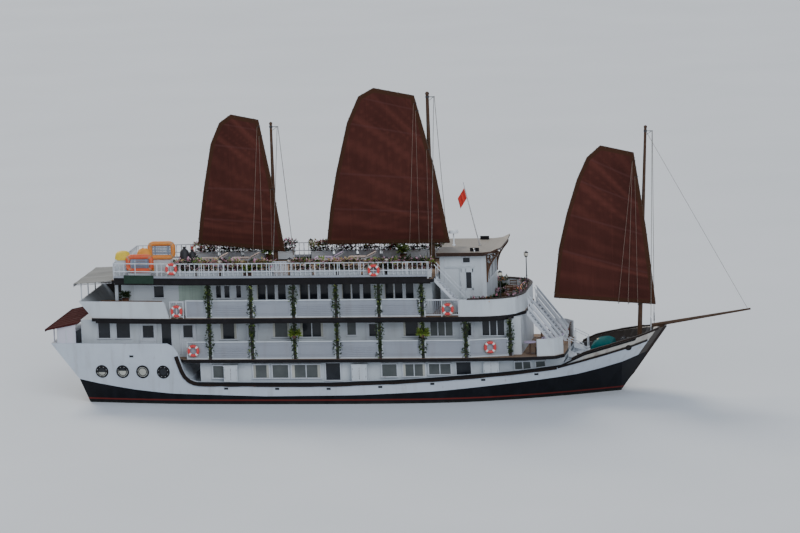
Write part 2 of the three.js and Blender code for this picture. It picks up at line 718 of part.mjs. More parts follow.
function mast(rig) {
  const [x0, z0] = rig.foot;
  const [x1, z1] = rig.head;
  const top = rig.radius * 0.55;
  const pole = bar([x0, 0, z0 + 20], [x1, 0, z1], rig.radius, MAST_SIDES, 0, top);
  const step = new THREE.CylinderGeometry(rig.radius + 60, rig.radius + 90, 240, MAST_SIDES);
  step.rotateX(Math.PI / 2).translate(x0, 0, z0 + 120);
  const truck = new THREE.SphereGeometry(top * 1.35, 10, 6).translate(x1, 0, z1);
  return join(pole, step, truck);
}

function luffPoint(rig, share) {
  const [a, b, c] = [rig.outline[1], rig.outline[2], rig.outline[FORE_LUFF]];
  return share < 0.5
    ? [a[0] + (b[0] - a[0]) * share * 2, a[1] + (b[1] - a[1]) * share * 2]
    : [b[0] + (c[0] - b[0]) * (share * 2 - 1), b[1] + (c[1] - b[1]) * (share * 2 - 1)];
}

// Pipe frame around the sail with battens across it and two collars that turn on the mast.
function sailFrame(rig) {
  const y = SAIL_PLANE;
  const points = rig.outline.map(([x, z]) => [x, y, z]);
  const pieces = points.map((p, i) => bar(p, points[(i + 1) % points.length], FRAME_RADIUS, 6, 20));
  for (const [leech, share] of rig.battens) {
    const [x, z] = luffPoint(rig, share);
    pieces.push(bar(points[leech], [x, y, z], BATTEN_RADIUS, 4));
  }
  const lean = Math.atan2(rig.head[0] - rig.foot[0], rig.head[1] - rig.foot[1]);
  for (const z of rig.collars) {
    const x = mastAxisX(rig, z);
    const bore = (mastRadius(rig, z - COLLAR.height / 2) + SEAT * 1.6) / Math.cos(Math.PI / MAST_SIDES);
    const outside = bore + COLLAR.wall;
    const ring = new THREE.CylinderGeometry(outside, outside, COLLAR.height, MAST_SIDES);
    const hole = new THREE.CylinderGeometry(bore, bore, COLLAR.height * 2, MAST_SIDES);
    const placed = [ring, hole].map((g) => g.rotateY(Math.PI / MAST_SIDES).rotateX(Math.PI / 2)
      .rotateY(lean).translate(x, 0, z));
    pieces.push(cut(join(placed[0], bar([x, -bore - 20, z], [x, y, z], 40, 8)), placed[1]));
    pieces.push(bar([aftOf(rig, z), y, z], [foreOf(rig, z), y, z], BATTEN_RADIUS, 4));
  }
  return join(...pieces);
}

// The sail's leech and luff at a height, found on its outline.
function crossings(rig, z) {
  const found = [];
  rig.outline.forEach(([x0, z0], i) => {
    const [x1, z1] = rig.outline[(i + 1) % rig.outline.length];
    if ((z0 - z) * (z1 - z) < 0) found.push(x0 + ((x1 - x0) * (z - z0)) / (z1 - z0));
  });
  return found.sort((a, b) => a - b);
}

function aftOf(rig, z) {
  return crossings(rig, z)[0];
}

function foreOf(rig, z) {
  return crossings(rig, z).at(-1);
}

function sailCloth(rig) {
  const outer = SAIL_PLANE - FRAME_RADIUS - SEAT;
  return wall(rig.outline, outer - CLOTH_THICKNESS, outer);
}

// The spar over the stem head, with the chock that seats it there.
function bowsprit() {
  const spar = bar([18300, 0, 3990], [24450, 0, 4980], 125, 14, 0, 60);
  const seat = (x) => straight(TOP_EDGE, x) + SEAT;
  const chock = wall([[18850, seat(18850)], [19150, seat(19150)], [19150, 4110], [18850, 4060]], -70, 70);
  return join(spar, chock);
}

// The forestay from the fore mast's head to the bowsprit's end.
function forestay() {
  const fore = RIGS[0];
  const z = fore.head[1] - 350;
  const x = mastAxisX(fore, z) + mastRadius(fore, z) + 10.6;
  return bar([x, 0, z], [24250, 0, 5024], 12, 6);
}

function rudder() {
  const { stock, half, head, foot, chord, balance, thickness } = RUDDER;
  const profile = [[balance, 0], [balance * 0.5, 0.42], [-chord * 0.2, 0.5], [-(chord - balance), 0.08]];
  const outline = [...profile.map(([x, t]) => [stock + x, -half - t * thickness]),
    ...profile.slice(1).reverse().map(([x, t]) => [stock + x, -half + t * thickness])];
  const shaft = bar([stock, -half, head - 200], [stock, -half, TRUNK.foot - SEAT], 60, 14);
  return join(slab(outline, foot, head), shaft);
}

// Propeller with its shaft, which runs forward through the bracket to the bossing.
function propeller() {
  const { x, z, radius, hub, blades, shaft } = PROPELLER;
  const boss = new THREE.CylinderGeometry(hub * 0.45, hub, 260, 12).rotateZ(Math.PI / 2);
  const pieces = [boss, bar([100, 0, 0], [BOSSING.aft - SEAT - x, 0, 0], shaft, 12)];
  for (let i = 0; i < blades; i += 1) {
    const blade = new THREE.SphereGeometry(1, 8, 6).scale(24, radius * 0.46, radius * 0.27);
    blade.rotateY(Math.PI / 5).translate(0, radius * 0.54, 0);
    pieces.push(blade.rotateX((i * 2 * Math.PI) / blades));
  }
  return join(...pieces).translate(x, -RUDDER.half, z);
}

// A rectangular rescue float standing on its long side: a round ring with a closed middle.
function raft() {
  const { length, height, tube, floor } = RAFT;
  const [u, w] = [length / 2 - tube, height / 2 - tube];
  const bevel = tube * 0.9;
  const corners = [[u, w - bevel], [u - bevel, w], [bevel - u, w], [-u, w - bevel],
    [-u, bevel - w], [bevel - u, -w], [u - bevel, -w], [u, bevel - w]];
  const ring = corners.map(([x, z], i) => {
    const [nextX, nextZ] = corners[(i + 1) % corners.length];
    return bar([x, 0, z], [nextX, 0, nextZ], tube, 8, tube * 0.35);
  });
  return join(...ring, box(-u, u, -floor / 2, floor / 2, -w, w)).translate(0, 0, height / 2);
}

// Height of the awning's underside at a place along the ship.
function awningUnder(x) {
  const fore = SUN_DECK_ENDS.aft - SEAT;
  return AWNING.z - (AWNING.fall * (fore - x)) / (fore - AWNING.aft);
}

function awning() {
  const { aft, half, thickness } = AWNING;
  const fore = SUN_DECK_ENDS.aft - SEAT;
  const under = [[aft, awningUnder(aft)], [fore, awningUnder(fore)]];
  const over = under.map(([x, z]) => [x, z + thickness]).reverse();
  return wall([...under, ...over], -half, half);
}

// The sloping canopy over the stern of deck 2, on posts and side screens that stand on the hull's top edge.
function sternCanopy() {
  const { aft, fore, half, aftZ, foreZ, thickness } = STERN_CANOPY;
  const under = (x) => straight([[aft, aftZ], [fore, foreZ]], x);
  const foot = 3800 + SEAT;
  const outline = [[aft, aftZ], [fore, foreZ], [fore, foreZ + thickness], [aft, aftZ + thickness]];
  const pieces = [wall(outline, -half, half)];
  for (const y of [-3000, -1000, 1000, 3000]) {
    pieces.push(box(-18450, -18380, y - 35, y + 35, foot, under(-18450) + 20));
  }
  for (const side of [-1, 1]) {
    const edge = [STERN_SCREEN.aft, STERN_SCREEN.fore].map((x) => {
      const y = hullHalf(stationOf(x, 3800), 3800) - BULWARK_THICKNESS / 2;
      const [outer, inner] = [y + STERN_SCREEN.thickness / 2, y - STERN_SCREEN.thickness / 2];
      return [[outer, foot], [outer, under(x) + 20], [inner, under(x) + 20], [inner, foot]]
        .map(([v, z]) => new THREE.Vector3(x, side * v, z));
    });
    pieces.push(wallLoft(edge));
  }
  return join(...pieces);
}

function flagpole() {
  const { foot: x, top, head, radius } = FLAGPOLE;
  const foot = CABIN.ceiling + CABIN.roof + SEAT * 2;
  const pole = bar([x, 0, foot + 30], [top, 0, head], radius, 8, 0, radius * 0.6);
  return join(pole, bar([x, 0, foot], [x, 0, foot + 60], 90, 12));
}

// The foredeck's profile, which runs straight between its stations.
function foredeckProfile() {
  return FOREDECK_STATIONS.map((x) => {
    const z = lineAt((at) => straight(FOREDECK, at), x);
    return [stationX(x, z), z + SEAT];
  });
}

// A block that stands on the sloping foredeck, from its top corners [x, z] and its sides.
function onForedeck(aftTop, foreTop, y0, y1) {
  const profile = foredeckProfile();
  const [aft, fore] = [aftTop[0], foreTop[0]];
  const between = profile.filter(([x]) => x > aft && x < fore);
  const foot = [[aft, straight(profile, aft)], ...between, [fore, straight(profile, fore)]];
  return wall([...foot, foreTop, aftTop], y0, y1);
}

function windlass() {
  const { aft, fore, half, drum, flange, axle } = WINDLASS;
  const x = (aft + fore) / 2;
  const base = onForedeck([aft, axle - 230], [fore, axle - 230], -half, half);
  const cheeks = [-200, 200].map((y) => box(x - 90, x + 90, y - 30, y + 30, axle - 250, axle + 60));
  const rims = [-1, 1].map((side) => bar([x, side * 320, axle], [x, side * 360, axle], flange, 12));
  return join(base, ...cheeks, ...rims, bar([x, -420, axle], [x, 420, axle], drum, 12));
}

add('hull_bottom', hullBottom(), 'black');
add('hull_topsides', hullTopsides(), 'white');
add('rub_rail_starboard', rubRail(-1), 'black');
add('rub_rail_port', rubRail(1), 'black');
add('house_1', houseOne(), 'white');
add('deck_2', slab(deckTwoOutline(), DECK_2 - SLAB + SEAT, DECK_2), 'deck');
add('house_2', slab(houseOutline(HOUSE_2), DECK_2 + SEAT, DECK_3 - SLAB - SEAT), 'white');
add('deck_3', slab(upperOutline(DECK_3_ENDS, 27), DECK_3 - SLAB, DECK_3), 'deck');
add('house_3', slab(houseOutline(HOUSE_3), DECK_3 + SEAT, SUN_DECK - SLAB - SEAT), 'white');
add('sun_deck', slab(upperOutline(SUN_DECK_ENDS, 15), SUN_DECK - SLAB, SUN_DECK), 'deck');
const galleryTwoHalf = (x) => Math.min(deckTwoHalf(x), upperHalf(DECK_3_ENDS, x));
const galleryThreeHalf = (x) => upperHalf(SUN_DECK_ENDS, x);
addPair('gallery_2', gallery(DECK_2, DECK_3 - SLAB, GALLERY_2_BAYS, galleryTwoHalf), 'white');
addPair('gallery_3', gallery(DECK_3, SUN_DECK - SLAB, GALLERY_3_BAYS, galleryThreeHalf), 'white');
add('sun_deck_rail', sunDeckRail(), 'steel');
add('terrace_bulwark', terraceBulwark(), 'white');
add('stern_bulwark', sternBulwark(), 'white');
addPair('lounge_bulwark', loungeBulwark(), 'white');

add('cabin_base', box(CABIN.aft, CABIN.fore, -CABIN.half, CABIN.half, DECK_3 + SEAT, CABIN.floor), 'white');
addPair('cabin_side', cabinSide(), 'white');
const FRONT_LIGHTS = [[-2150, -850], [-650, 650], [850, 2150]];
const BACK_LIGHTS = [[-1900, -700], [700, 1900]];
add('cabin_front', cabinEnd(CABIN.fore - CABIN.wall, FRONT_LIGHTS, 7150, 8350), 'white');
add('cabin_back', cabinEnd(CABIN.aft, BACK_LIGHTS, 7950, 8550), 'white');
add('cabin_roof', cabinRoof(), 'timber');
addPair('cabin_door', cabinDoor(), 'timber');

addPair('sun_deck_stair', flight({ x: 5600, z: SUN_DECK }, { x: 7750, z: DECK_3 }, -3900, -3050), 'white');
addPair('terrace_stair', flight({ x: 11000, z: DECK_3 }, { x: 13000, z: DECK_2 }, -2300, -1450), 'white');
const FOREDECK_STEP = { x: 14300, z: straight(FOREDECK, 14300) };
addPair('foredeck_stair', flight({ x: 13420, z: DECK_2 - 100 }, FOREDECK_STEP, -1900, -1200), 'white');

for (const rig of RIGS) {
  add(`${rig.name}_mast`, mast(rig), 'timber');
  add(`${rig.name}_sail_frame`, sailFrame(rig), 'timber');
  add(`${rig.name}_sail`, sailCloth(rig), 'cloth');
}
add('bowsprit', bowsprit(), 'timber');
add('forestay', forestay(), 'steel');
addPair('rudder', rudder(), 'black');
addPair('propeller', propeller(), 'bronze');

const lockerTop = SUN_DECK + SEAT + RAFT_LOCKER.height;
const stepTop = SUN_DECK + SEAT + RAFT_STEP.height;
const chest = ({ aft, fore, outer, inner, height }) => (
  box(aft, fore, outer, inner, SUN_DECK + SEAT, SUN_DECK + SEAT + height));
add('raft_locker', join(chest(RAFT_LOCKER), chest(RAFT_STEP)), 'white');
add('raft_outer', raft().translate(-12750, -3330, stepTop + SEAT), 'orange');
add('raft_inner', raft().translate(-11700, -1650, lockerTop + SEAT), 'orange');
add('stern_awning', awning(), 'awning');
add('stern_canopy', sternCanopy(), 'canopy');
add('flagpole', flagpole(), 'steel');
const { aft: lockerAft, fore: lockerFore, aftTop, foreTop, outer, inner } = FORE_LOCKER;
add('foredeck_locker', onForedeck([lockerAft, aftTop], [lockerFore, foreTop], outer, inner), 'teal');
add('windlass', windlass(), 'steel');

export default ship;
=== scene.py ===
"""Dresses the half-size cruise junk: finishes for its built parts, fittings, cloth, rigging and plants.

The classes hold their sizes in the real ship's metres. SHIP_SCALE brings them to the half-size model, and
places on the ship are read from the built parts, so that every fitting sits on what carries it. A side of the
ship is -1 for starboard and 1 for port, and sizes inside a finish are in model metres.
"""

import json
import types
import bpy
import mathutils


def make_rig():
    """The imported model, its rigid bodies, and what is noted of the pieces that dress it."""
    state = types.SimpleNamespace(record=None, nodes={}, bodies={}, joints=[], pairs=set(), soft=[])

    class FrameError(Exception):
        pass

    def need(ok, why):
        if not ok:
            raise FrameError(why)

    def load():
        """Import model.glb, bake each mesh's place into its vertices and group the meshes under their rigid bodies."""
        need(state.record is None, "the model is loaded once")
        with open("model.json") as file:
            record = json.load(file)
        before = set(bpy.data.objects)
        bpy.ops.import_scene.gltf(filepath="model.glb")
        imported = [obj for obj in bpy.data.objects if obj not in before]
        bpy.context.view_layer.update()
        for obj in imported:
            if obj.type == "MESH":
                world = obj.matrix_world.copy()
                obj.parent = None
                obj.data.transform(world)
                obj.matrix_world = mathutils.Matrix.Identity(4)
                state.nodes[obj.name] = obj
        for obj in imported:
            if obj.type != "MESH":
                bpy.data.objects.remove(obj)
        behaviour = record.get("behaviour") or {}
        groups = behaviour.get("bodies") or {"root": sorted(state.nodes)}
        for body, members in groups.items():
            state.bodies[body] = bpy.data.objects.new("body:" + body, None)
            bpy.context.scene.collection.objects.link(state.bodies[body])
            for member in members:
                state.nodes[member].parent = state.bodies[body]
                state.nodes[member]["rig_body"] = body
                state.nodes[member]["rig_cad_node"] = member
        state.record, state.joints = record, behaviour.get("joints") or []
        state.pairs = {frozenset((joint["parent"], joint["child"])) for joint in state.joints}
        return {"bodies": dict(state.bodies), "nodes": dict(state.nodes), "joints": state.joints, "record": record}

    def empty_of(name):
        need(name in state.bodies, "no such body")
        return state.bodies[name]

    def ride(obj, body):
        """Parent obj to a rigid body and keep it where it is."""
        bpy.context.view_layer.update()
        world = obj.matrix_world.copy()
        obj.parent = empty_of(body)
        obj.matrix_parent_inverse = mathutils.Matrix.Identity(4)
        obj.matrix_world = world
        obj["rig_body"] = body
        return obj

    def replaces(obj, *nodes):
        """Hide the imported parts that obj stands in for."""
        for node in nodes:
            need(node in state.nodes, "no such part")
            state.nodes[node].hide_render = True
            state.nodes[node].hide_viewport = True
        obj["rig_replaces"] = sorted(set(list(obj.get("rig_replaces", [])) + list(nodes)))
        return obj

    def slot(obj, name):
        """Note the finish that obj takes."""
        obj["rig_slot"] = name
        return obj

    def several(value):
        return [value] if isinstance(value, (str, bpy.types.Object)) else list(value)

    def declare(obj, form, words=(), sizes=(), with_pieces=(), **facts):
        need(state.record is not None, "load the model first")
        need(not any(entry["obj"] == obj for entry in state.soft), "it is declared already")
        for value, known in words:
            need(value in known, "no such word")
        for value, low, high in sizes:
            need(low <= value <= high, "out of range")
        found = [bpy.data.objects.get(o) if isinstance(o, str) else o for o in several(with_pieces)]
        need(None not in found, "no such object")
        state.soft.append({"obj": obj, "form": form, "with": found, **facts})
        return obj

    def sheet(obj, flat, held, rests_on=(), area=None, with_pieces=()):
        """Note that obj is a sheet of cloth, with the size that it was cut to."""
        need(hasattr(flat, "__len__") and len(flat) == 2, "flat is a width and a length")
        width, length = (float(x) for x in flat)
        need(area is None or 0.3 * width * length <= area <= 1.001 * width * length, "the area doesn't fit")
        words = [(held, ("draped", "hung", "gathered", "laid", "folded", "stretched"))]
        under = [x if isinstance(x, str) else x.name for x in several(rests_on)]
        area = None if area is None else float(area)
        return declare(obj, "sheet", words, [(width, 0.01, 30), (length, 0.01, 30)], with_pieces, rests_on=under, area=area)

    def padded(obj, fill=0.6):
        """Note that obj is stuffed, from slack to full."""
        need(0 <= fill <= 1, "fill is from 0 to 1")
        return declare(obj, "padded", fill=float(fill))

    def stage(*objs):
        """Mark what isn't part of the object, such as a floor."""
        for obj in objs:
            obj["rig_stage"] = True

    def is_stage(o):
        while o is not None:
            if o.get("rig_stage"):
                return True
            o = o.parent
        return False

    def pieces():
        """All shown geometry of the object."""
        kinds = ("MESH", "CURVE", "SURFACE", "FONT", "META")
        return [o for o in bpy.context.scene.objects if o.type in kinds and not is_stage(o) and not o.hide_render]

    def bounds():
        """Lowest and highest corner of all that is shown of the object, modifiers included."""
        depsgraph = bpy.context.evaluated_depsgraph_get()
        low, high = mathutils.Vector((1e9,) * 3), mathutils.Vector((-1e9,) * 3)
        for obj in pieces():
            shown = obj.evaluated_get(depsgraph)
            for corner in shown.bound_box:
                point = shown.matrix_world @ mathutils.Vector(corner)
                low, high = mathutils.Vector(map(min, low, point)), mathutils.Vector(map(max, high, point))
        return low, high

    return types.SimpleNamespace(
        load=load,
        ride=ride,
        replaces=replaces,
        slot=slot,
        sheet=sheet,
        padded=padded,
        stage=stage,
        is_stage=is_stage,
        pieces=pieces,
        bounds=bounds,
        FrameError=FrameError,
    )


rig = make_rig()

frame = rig.load()

import json
import logging
import math
import random
from collections.abc import Iterable
from dataclasses import dataclass, field
from enum import Enum
from functools import cache
from itertools import product

import bpy
from mathutils import Matrix, Vector
from mathutils.bvhtree import BVHTree

SHIP_SCALE = 0.5
SEED = 41
SIDES = {-1: "starboard", 1: "port"}
DECK_2 = 2.8
DECK_3 = 5.35
SUN_DECK = 7.7
ALONG = Vector((1, 0, 0))
ABEAM = Vector((0, 1, 0))
UPWARD = Vector((0, 0, 1))
SIZE_FILE = "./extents.json"
CAD_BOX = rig.bounds()
LOG = logging.getLogger("junk")

Colour = tuple[float, float, float]
Span = tuple[float, float]
Point = tuple[float, float, float]
Socket = bpy.types.NodeSocket

EVEN = (1.0, 1.0, 1.0)


class Grain(Enum):
    """The way that the grain of a piece of timber runs."""

    FORE_AND_AFT = (1.0, 12.0, 12.0)
    ACROSS = (12.0, 1.0, 12.0)
    UPRIGHT = (12.0, 12.0, 1.0)


class Board:
    """Builds one material's node tree around its surface shader."""

    def __init__(self, name: str) -> None:
        """Starts the material of a name."""
        self.material = bpy.data.materials.new(name)
        self.material.use_nodes = True
        self.tree = self.material.node_tree
        self.shader = self.tree.nodes["Principled BSDF"]

    def feed(self, socket: Socket, value: object) -> None:
        """Links or sets one input.

        Args:
            socket: the input.
            value: an output to link to it, or a value to set on it.
        """
        if isinstance(value, Socket):
            self.tree.links.new(value, socket)
        elif isinstance(value, tuple) and len(value) == 3 and socket.type == "RGBA":
            socket.default_value = (*value, 1.0)
        else:
            socket.default_value = value

    def node(self, kind: str, output: str | int, inputs: dict[str | int, object],
             **settings: object) -> Socket:
        """Adds a node.

        Args:
            kind: the node's type, without its ShaderNode prefix.
            output: the name or number of the output that is wanted.
            inputs: what feeds each input, by name or number.
            settings: properties to set on the node.

        Returns:
            The output.
        """
        node = self.tree.nodes.new(f"ShaderNode{kind}")
        for name, value in settings.items():
            setattr(node, name, value)
        for name, value in inputs.items():
            self.feed(node.inputs[name], value)
        return node.outputs[output]

    def place(self, stretch: Point = EVEN) -> Socket:
        """Gives the surface point in the piece's own space, stretched along its axes."""
        return self.node("Mapping", 0, {"Vector": self.node("TexCoord", "Object", {}), "Scale": stretch})

    def noise(self, size: float, stretch: Point = EVEN, detail: float = 3.0) -> Socket:
        """Gives noise from 0 to 1 in patches of a size, finer along the stretched axes."""
        inputs = {"Scale": 1.0 / size, "Detail": detail, "Vector": self.place(stretch)}
        return self.node("TexNoise", "Fac", inputs)

    def reach(self, value: object, low: Span, high: Span) -> Socket:
        """Maps a value from the range low to the range high and keeps it inside."""
        ends = zip(("From Min", "From Max", "To Min", "To Max"), (*low, *high))
        return self.node("MapRange", "Result", {**dict(ends), "Value": value})

    def patches(self, size: float, low: Span, share: float = 1.0, stretch: Point = EVEN,
                detail: float = 3.0) -> Socket:
        """Gives patches that rise from 0 to a share while the noise rises through the range low."""
        return self.reach(self.noise(size, stretch, detail), low, (0.0, share))

    def mix(self, share: object, first: object, second: object) -> Socket:
        """Mixes two colours by a share."""
        return self.node("Mix", 2, {0: share, 6: first, 7: second}, data_type="RGBA")

    def sum(self, operation: str, first: object, second: object = 0.0) -> Socket:
        """Does one sum, such as MULTIPLY, on two values."""
        return self.node("Math", 0, {0: first, 1: second}, operation=operation)

    def position(self, axis: str) -> Socket:
        """Gives the surface point's X, Y or Z in the piece's own space."""
        return self.node("SeparateXYZ", axis, {0: self.place()})

    def facing(self, axis: str) -> Socket:
        """Gives the X, Y or Z of the direction that the surface faces."""
        return self.node("SeparateXYZ", axis, {0: self.node("NewGeometry", "Normal", {})})

    def facing_up(self) -> Socket:
        """Gives 1 where the surface faces up and 0 elsewhere."""
        return self.sum("GREATER_THAN", self.facing("Z"), 0.7)

    def facing_in(self) -> Socket:
        """Gives 1 where the surface faces the ship's centreline and 0 elsewhere."""
        return self.sum("LESS_THAN", self.sum("MULTIPLY", self.facing("Y"), self.position("Y")), -0.02)

    def off_middle(self, value: Socket, gap: float) -> Socket:
        """Gives how far a value is from the middle of its bay, as a share of the gap from bay to bay."""
        share = self.sum("FRACT", self.sum("DIVIDE", value, gap))
        return self.sum("ABSOLUTE", self.sum("SUBTRACT", share, 0.5))

    def tint(self, share: object, colour: object) -> None:
        """Mixes a colour over the surface colour made so far, by a share."""
        made = self.shader.inputs["Base Color"].links[0].from_socket
        self.set(Base_Color=self.mix(share, made, colour))

    def attribute(self, name: str) -> Socket:
        """Gives a number that the mesh carries at each of its points."""
        return self.node("Attribute", "Fac", {}, attribute_name=name)

    def bump(self, height: object, depth: float) -> None:
        """Raises the surface by a height from 0 to 1 over a depth."""
        self.set(Normal=self.node("Bump", "Normal", {"Distance": depth, "Strength": 1.0, "Height": height}))

    def set(self, **values: object) -> None:
        """Sets or links the shader's inputs, with underscores for the spaces in their names."""
        for name, value in values.items():
            self.feed(self.shader.inputs[name.replace("_", " ")], value)


@dataclass(frozen=True)
class Finish:
    """One surface finish, made once and shared by the pieces that have it."""

    name: str
    colour: Colour
    roughness: float = 0.5
    slot: str | None = None

    def material(self) -> bpy.types.Material:
        """Gives the finish's material, and makes it at the first call."""
        made = bpy.data.materials.get(self.name)
        if made:
            return made
        board = Board(self.name)
        self.dress(board)
        board.material.diffuse_color = (*self.colour, 1.0)
        return board.material

    def shade(self, amount: float) -> Colour:
        """Gives the finish's colour made darker or lighter."""
        return tuple(min(1.0, part * amount) for part in self.colour)

    def roughen(self, board: Board, value: Socket, low: Span, shares: Span) -> None:
        """Varies the roughness with a value in the range low, between two shares of itself."""
        board.set(Roughness=board.reach(value, low, tuple(self.roughness * share for share in shares)))

    def dress(self, board: Board) -> None:
        """Builds the node tree.

        Args:
            board: the material's board.
        """
        raise NotImplementedError


@dataclass(frozen=True)
class Paint(Finish):
    """Brushed ship's paint with faint patches, dirt that runs down it, and sparse rust."""

    dirt: Colour = (0.20, 0.17, 0.13)
    dirt_share: float = 0.30
    rust_share: float = 0.0
    rust: Colour = (0.16, 0.055, 0.02)
    gloss: float = 0.4

    def dress(self, board: Board) -> None:
        """Builds the node tree."""
        worn = board.mix(board.patches(0.9, (0.35, 0.7), detail=4.0), self.shade(0.93), self.shade(1.04))
        runs = board.noise(0.22, (1.0, 1.0, 0.16), 5.0)
        worn = board.mix(board.reach(runs, (0.52, 0.78), (0.0, self.dirt_share)), worn, self.dirt)
        if self.rust_share:
            spots = board.patches(0.12, (0.66, 0.74), self.rust_share, (1.0, 1.0, 0.35), 6.0)
            worn = board.mix(spots, worn, self.rust)
        board.set(Base_Color=worn, Specular_IOR_Level=self.gloss)
        self.roughen(board, runs, (0.3, 0.8), (0.85, 1.25))
        board.bump(board.noise(0.35, detail=5.0), 0.0012)


@dataclass(frozen=True)
class InnerShadedPaint(Paint):
    """Paint on the outside of a bulwark, with its inner face darkened as painted shade."""

    inner_painted_shade: Colour = (0.085, 0.075, 0.068)

    def dress(self, board: Board) -> None:
        """Builds the node tree."""
        super().dress(board)
        # painted shade: the faces that look towards the centreline are darkened
        board.tint(board.facing_in(), self.inner_painted_shade)


@dataclass(frozen=True)
class BottomPaint(Paint):
    """Black bottom paint with a thin dark red line just above the water."""

    line: Span = (0.105, 0.150)
    line_colour: Colour = (0.13, 0.018, 0.015)
    scum: Colour = (0.055, 0.06, 0.035)

    def dress(self, board: Board) -> None:
        """Builds the node tree."""
        waver = board.reach(board.noise(0.3), (0.0, 1.0), (-0.006, 0.006))
        edge = board.sum("ADD", board.position("Z"), waver)
        foot, head = self.line
        above = board.reach(edge, (foot - 0.004, foot + 0.004), (0.0, 1.0))
        below = board.reach(edge, (head - 0.004, head + 0.004), (1.0, 0.0))
        wet = board.reach(edge, (0.0, 0.09), (0.55, 0.0))
        runs = board.noise(0.25, (1.0, 1.0, 0.3), 6.0)
        base = board.mix(board.reach(runs, (0.4, 0.7), (0.0, 1.0)), self.colour, self.shade(1.9))
        lined = board.mix(board.sum("MULTIPLY", above, below), base, self.line_colour)
        slimed = board.mix(board.sum("MULTIPLY", wet, runs), lined, self.scum)
        board.set(Base_Color=slimed, Specular_IOR_Level=self.gloss)
        self.roughen(board, runs, (0.3, 0.8), (0.8, 1.4))
        board.bump(board.noise(0.45, detail=5.0), 0.002)


@dataclass(frozen=True)
class DeckFinish(Paint):
    """Laid planks on what faces up and black paint on the deck's edges and underside."""

    plank: Colour = (0.23, 0.15, 0.095)
    seam: Colour = (0.02, 0.018, 0.016)
    trodden: Colour = (0.26, 0.235, 0.2)
    plank_width: float = 0.062
    plank_length: float = 1.3

    def tone(self, amount: float) -> Colour:
        """Gives the planks' colour made darker or lighter."""
        return tuple(part * amount for part in self.plank)

    def dress(self, board: Board) -> None:
        """Builds the node tree."""
        inputs = {"Scale": 1.0, "Mortar Size": 0.003, "Mortar Smooth": 0.2, "Bias": 0.0,
                  "Brick Width": self.plank_length, "Row Height": self.plank_width, "Color1": self.plank,
                  "Color2": self.tone(1.35), "Mortar": self.seam, "Vector": board.place()}
        planks = board.node("TexBrick", "Color", inputs, offset=0.37, offset_frequency=2, squash=1.0)
        grain = board.patches(0.05, (0.3, 0.7), 0.35, (0.08, 1.0, 1.0), 5.0)
        wood = board.mix(grain, planks, self.tone(0.5))
        wood = board.mix(board.patches(0.8, (0.5, 0.8), 0.45, detail=5.0), wood, self.trodden)
        up = board.facing_up()
        edge = board.mix(board.patches(0.3, (0.4, 0.7)), self.colour, self.shade(1.8))
        board.set(Base_Color=board.mix(up, edge, wood), Specular_IOR_Level=self.gloss)
        board.set(Roughness=board.reach(up, (0.0, 1.0), (self.roughness, 0.75)))
        seams = planks.node.outputs["Fac"]
        board.bump(board.sum("MULTIPLY", up, board.sum("SUBTRACT", 1.0, seams)), 0.0015)


@dataclass(frozen=True)
class Timber(Finish):
    """Varnished hardwood with grain, darker bands and worn patches."""

    grain: Grain = Grain.UPRIGHT
    varnish: float = 0.08

    def dress(self, board: Board) -> None:
        """Builds the node tree."""
        fibres = board.noise(0.16, self.grain.value, 6.0)
        wood = board.mix(board.reach(fibres, (0.35, 0.68), (0.0, 1.0)), self.shade(0.6), self.shade(1.5))
        worn = board.patches(0.4, (0.55, 0.8), 0.5, detail=4.0)
        board.set(Base_Color=board.mix(worn, wood, tuple(0.5 * part + 0.09 for part in self.colour)))
        self.roughen(board, fibres, (0.2, 0.8), (0.8, 1.3))
        board.set(Coat_Weight=self.varnish, Coat_Roughness=0.3, Specular_IOR_Level=0.2)
        board.bump(fibres, 0.0010)


@dataclass(frozen=True)
class RoofBoards(Timber):
    """Dark boards whose upper side is weathered pale."""

    weathered: Colour = (0.26, 0.235, 0.20)

    def dress(self, board: Board) -> None:
        """Builds the node tree."""
        super().dress(board)
        board.tint(board.facing_up(), self.weathered)


@dataclass(frozen=True)
class Canvas(Finish):
    """Woven cloth with seams between its widths, faded patches and a fine weave."""

    seam_gap: float = 0.45
    seam_axis: str = "X"
    weave: float = 0.004
    fade: float = 1.5
    sheen: float = 0.15
    gloss: float = 0.4

    def seam(self, board: Board, width: Span) -> Socket:
        """Gives 1 on the seams and 0 between them, over a width in shares of the gap between seams."""
        return board.reach(board.off_middle(board.position(self.seam_axis), self.seam_gap), width, (0.0, 1.0))

    def dress(self, board: Board) -> None:
        """Builds the node tree."""
        seam = self.seam(board, (0.46, 0.49))
        patches = board.patches(0.7, (0.35, 0.72), 1.0, (1.0, 1.0, 0.5), 5.0)
        base = board.mix(patches, self.shade(0.78), self.shade(self.fade))
        streaks = board.patches(0.09, (0.45, 0.75), 0.3, (1.0, 1.0, 0.1), 4.0)
        weathered = board.mix(streaks, base, self.shade(0.5))
        board.set(Base_Color=board.mix(board.sum("MULTIPLY", seam, 0.45), weathered, self.shade(0.55)))
        board.set(Roughness=self.roughness, Sheen_Weight=self.sheen, Sheen_Roughness=0.5)
        board.set(Specular_IOR_Level=self.gloss)
        board.bump(self.threads(board, seam), 0.0012)

    def threads(self, board: Board, seam: Socket) -> Socket:
        """Gives the height of the crossing threads and of the seams."""
        inputs = {"Scale": 1.0 / (self.weave * 20.0), "Vector": board.place()}
        warp, weft = (board.node("TexWave", "Fac", inputs, bands_direction=axis) for axis in ("X", "Z"))
        return board.sum("ADD", board.sum("MULTIPLY", board.sum("MULTIPLY", warp, weft), 0.4), seam)


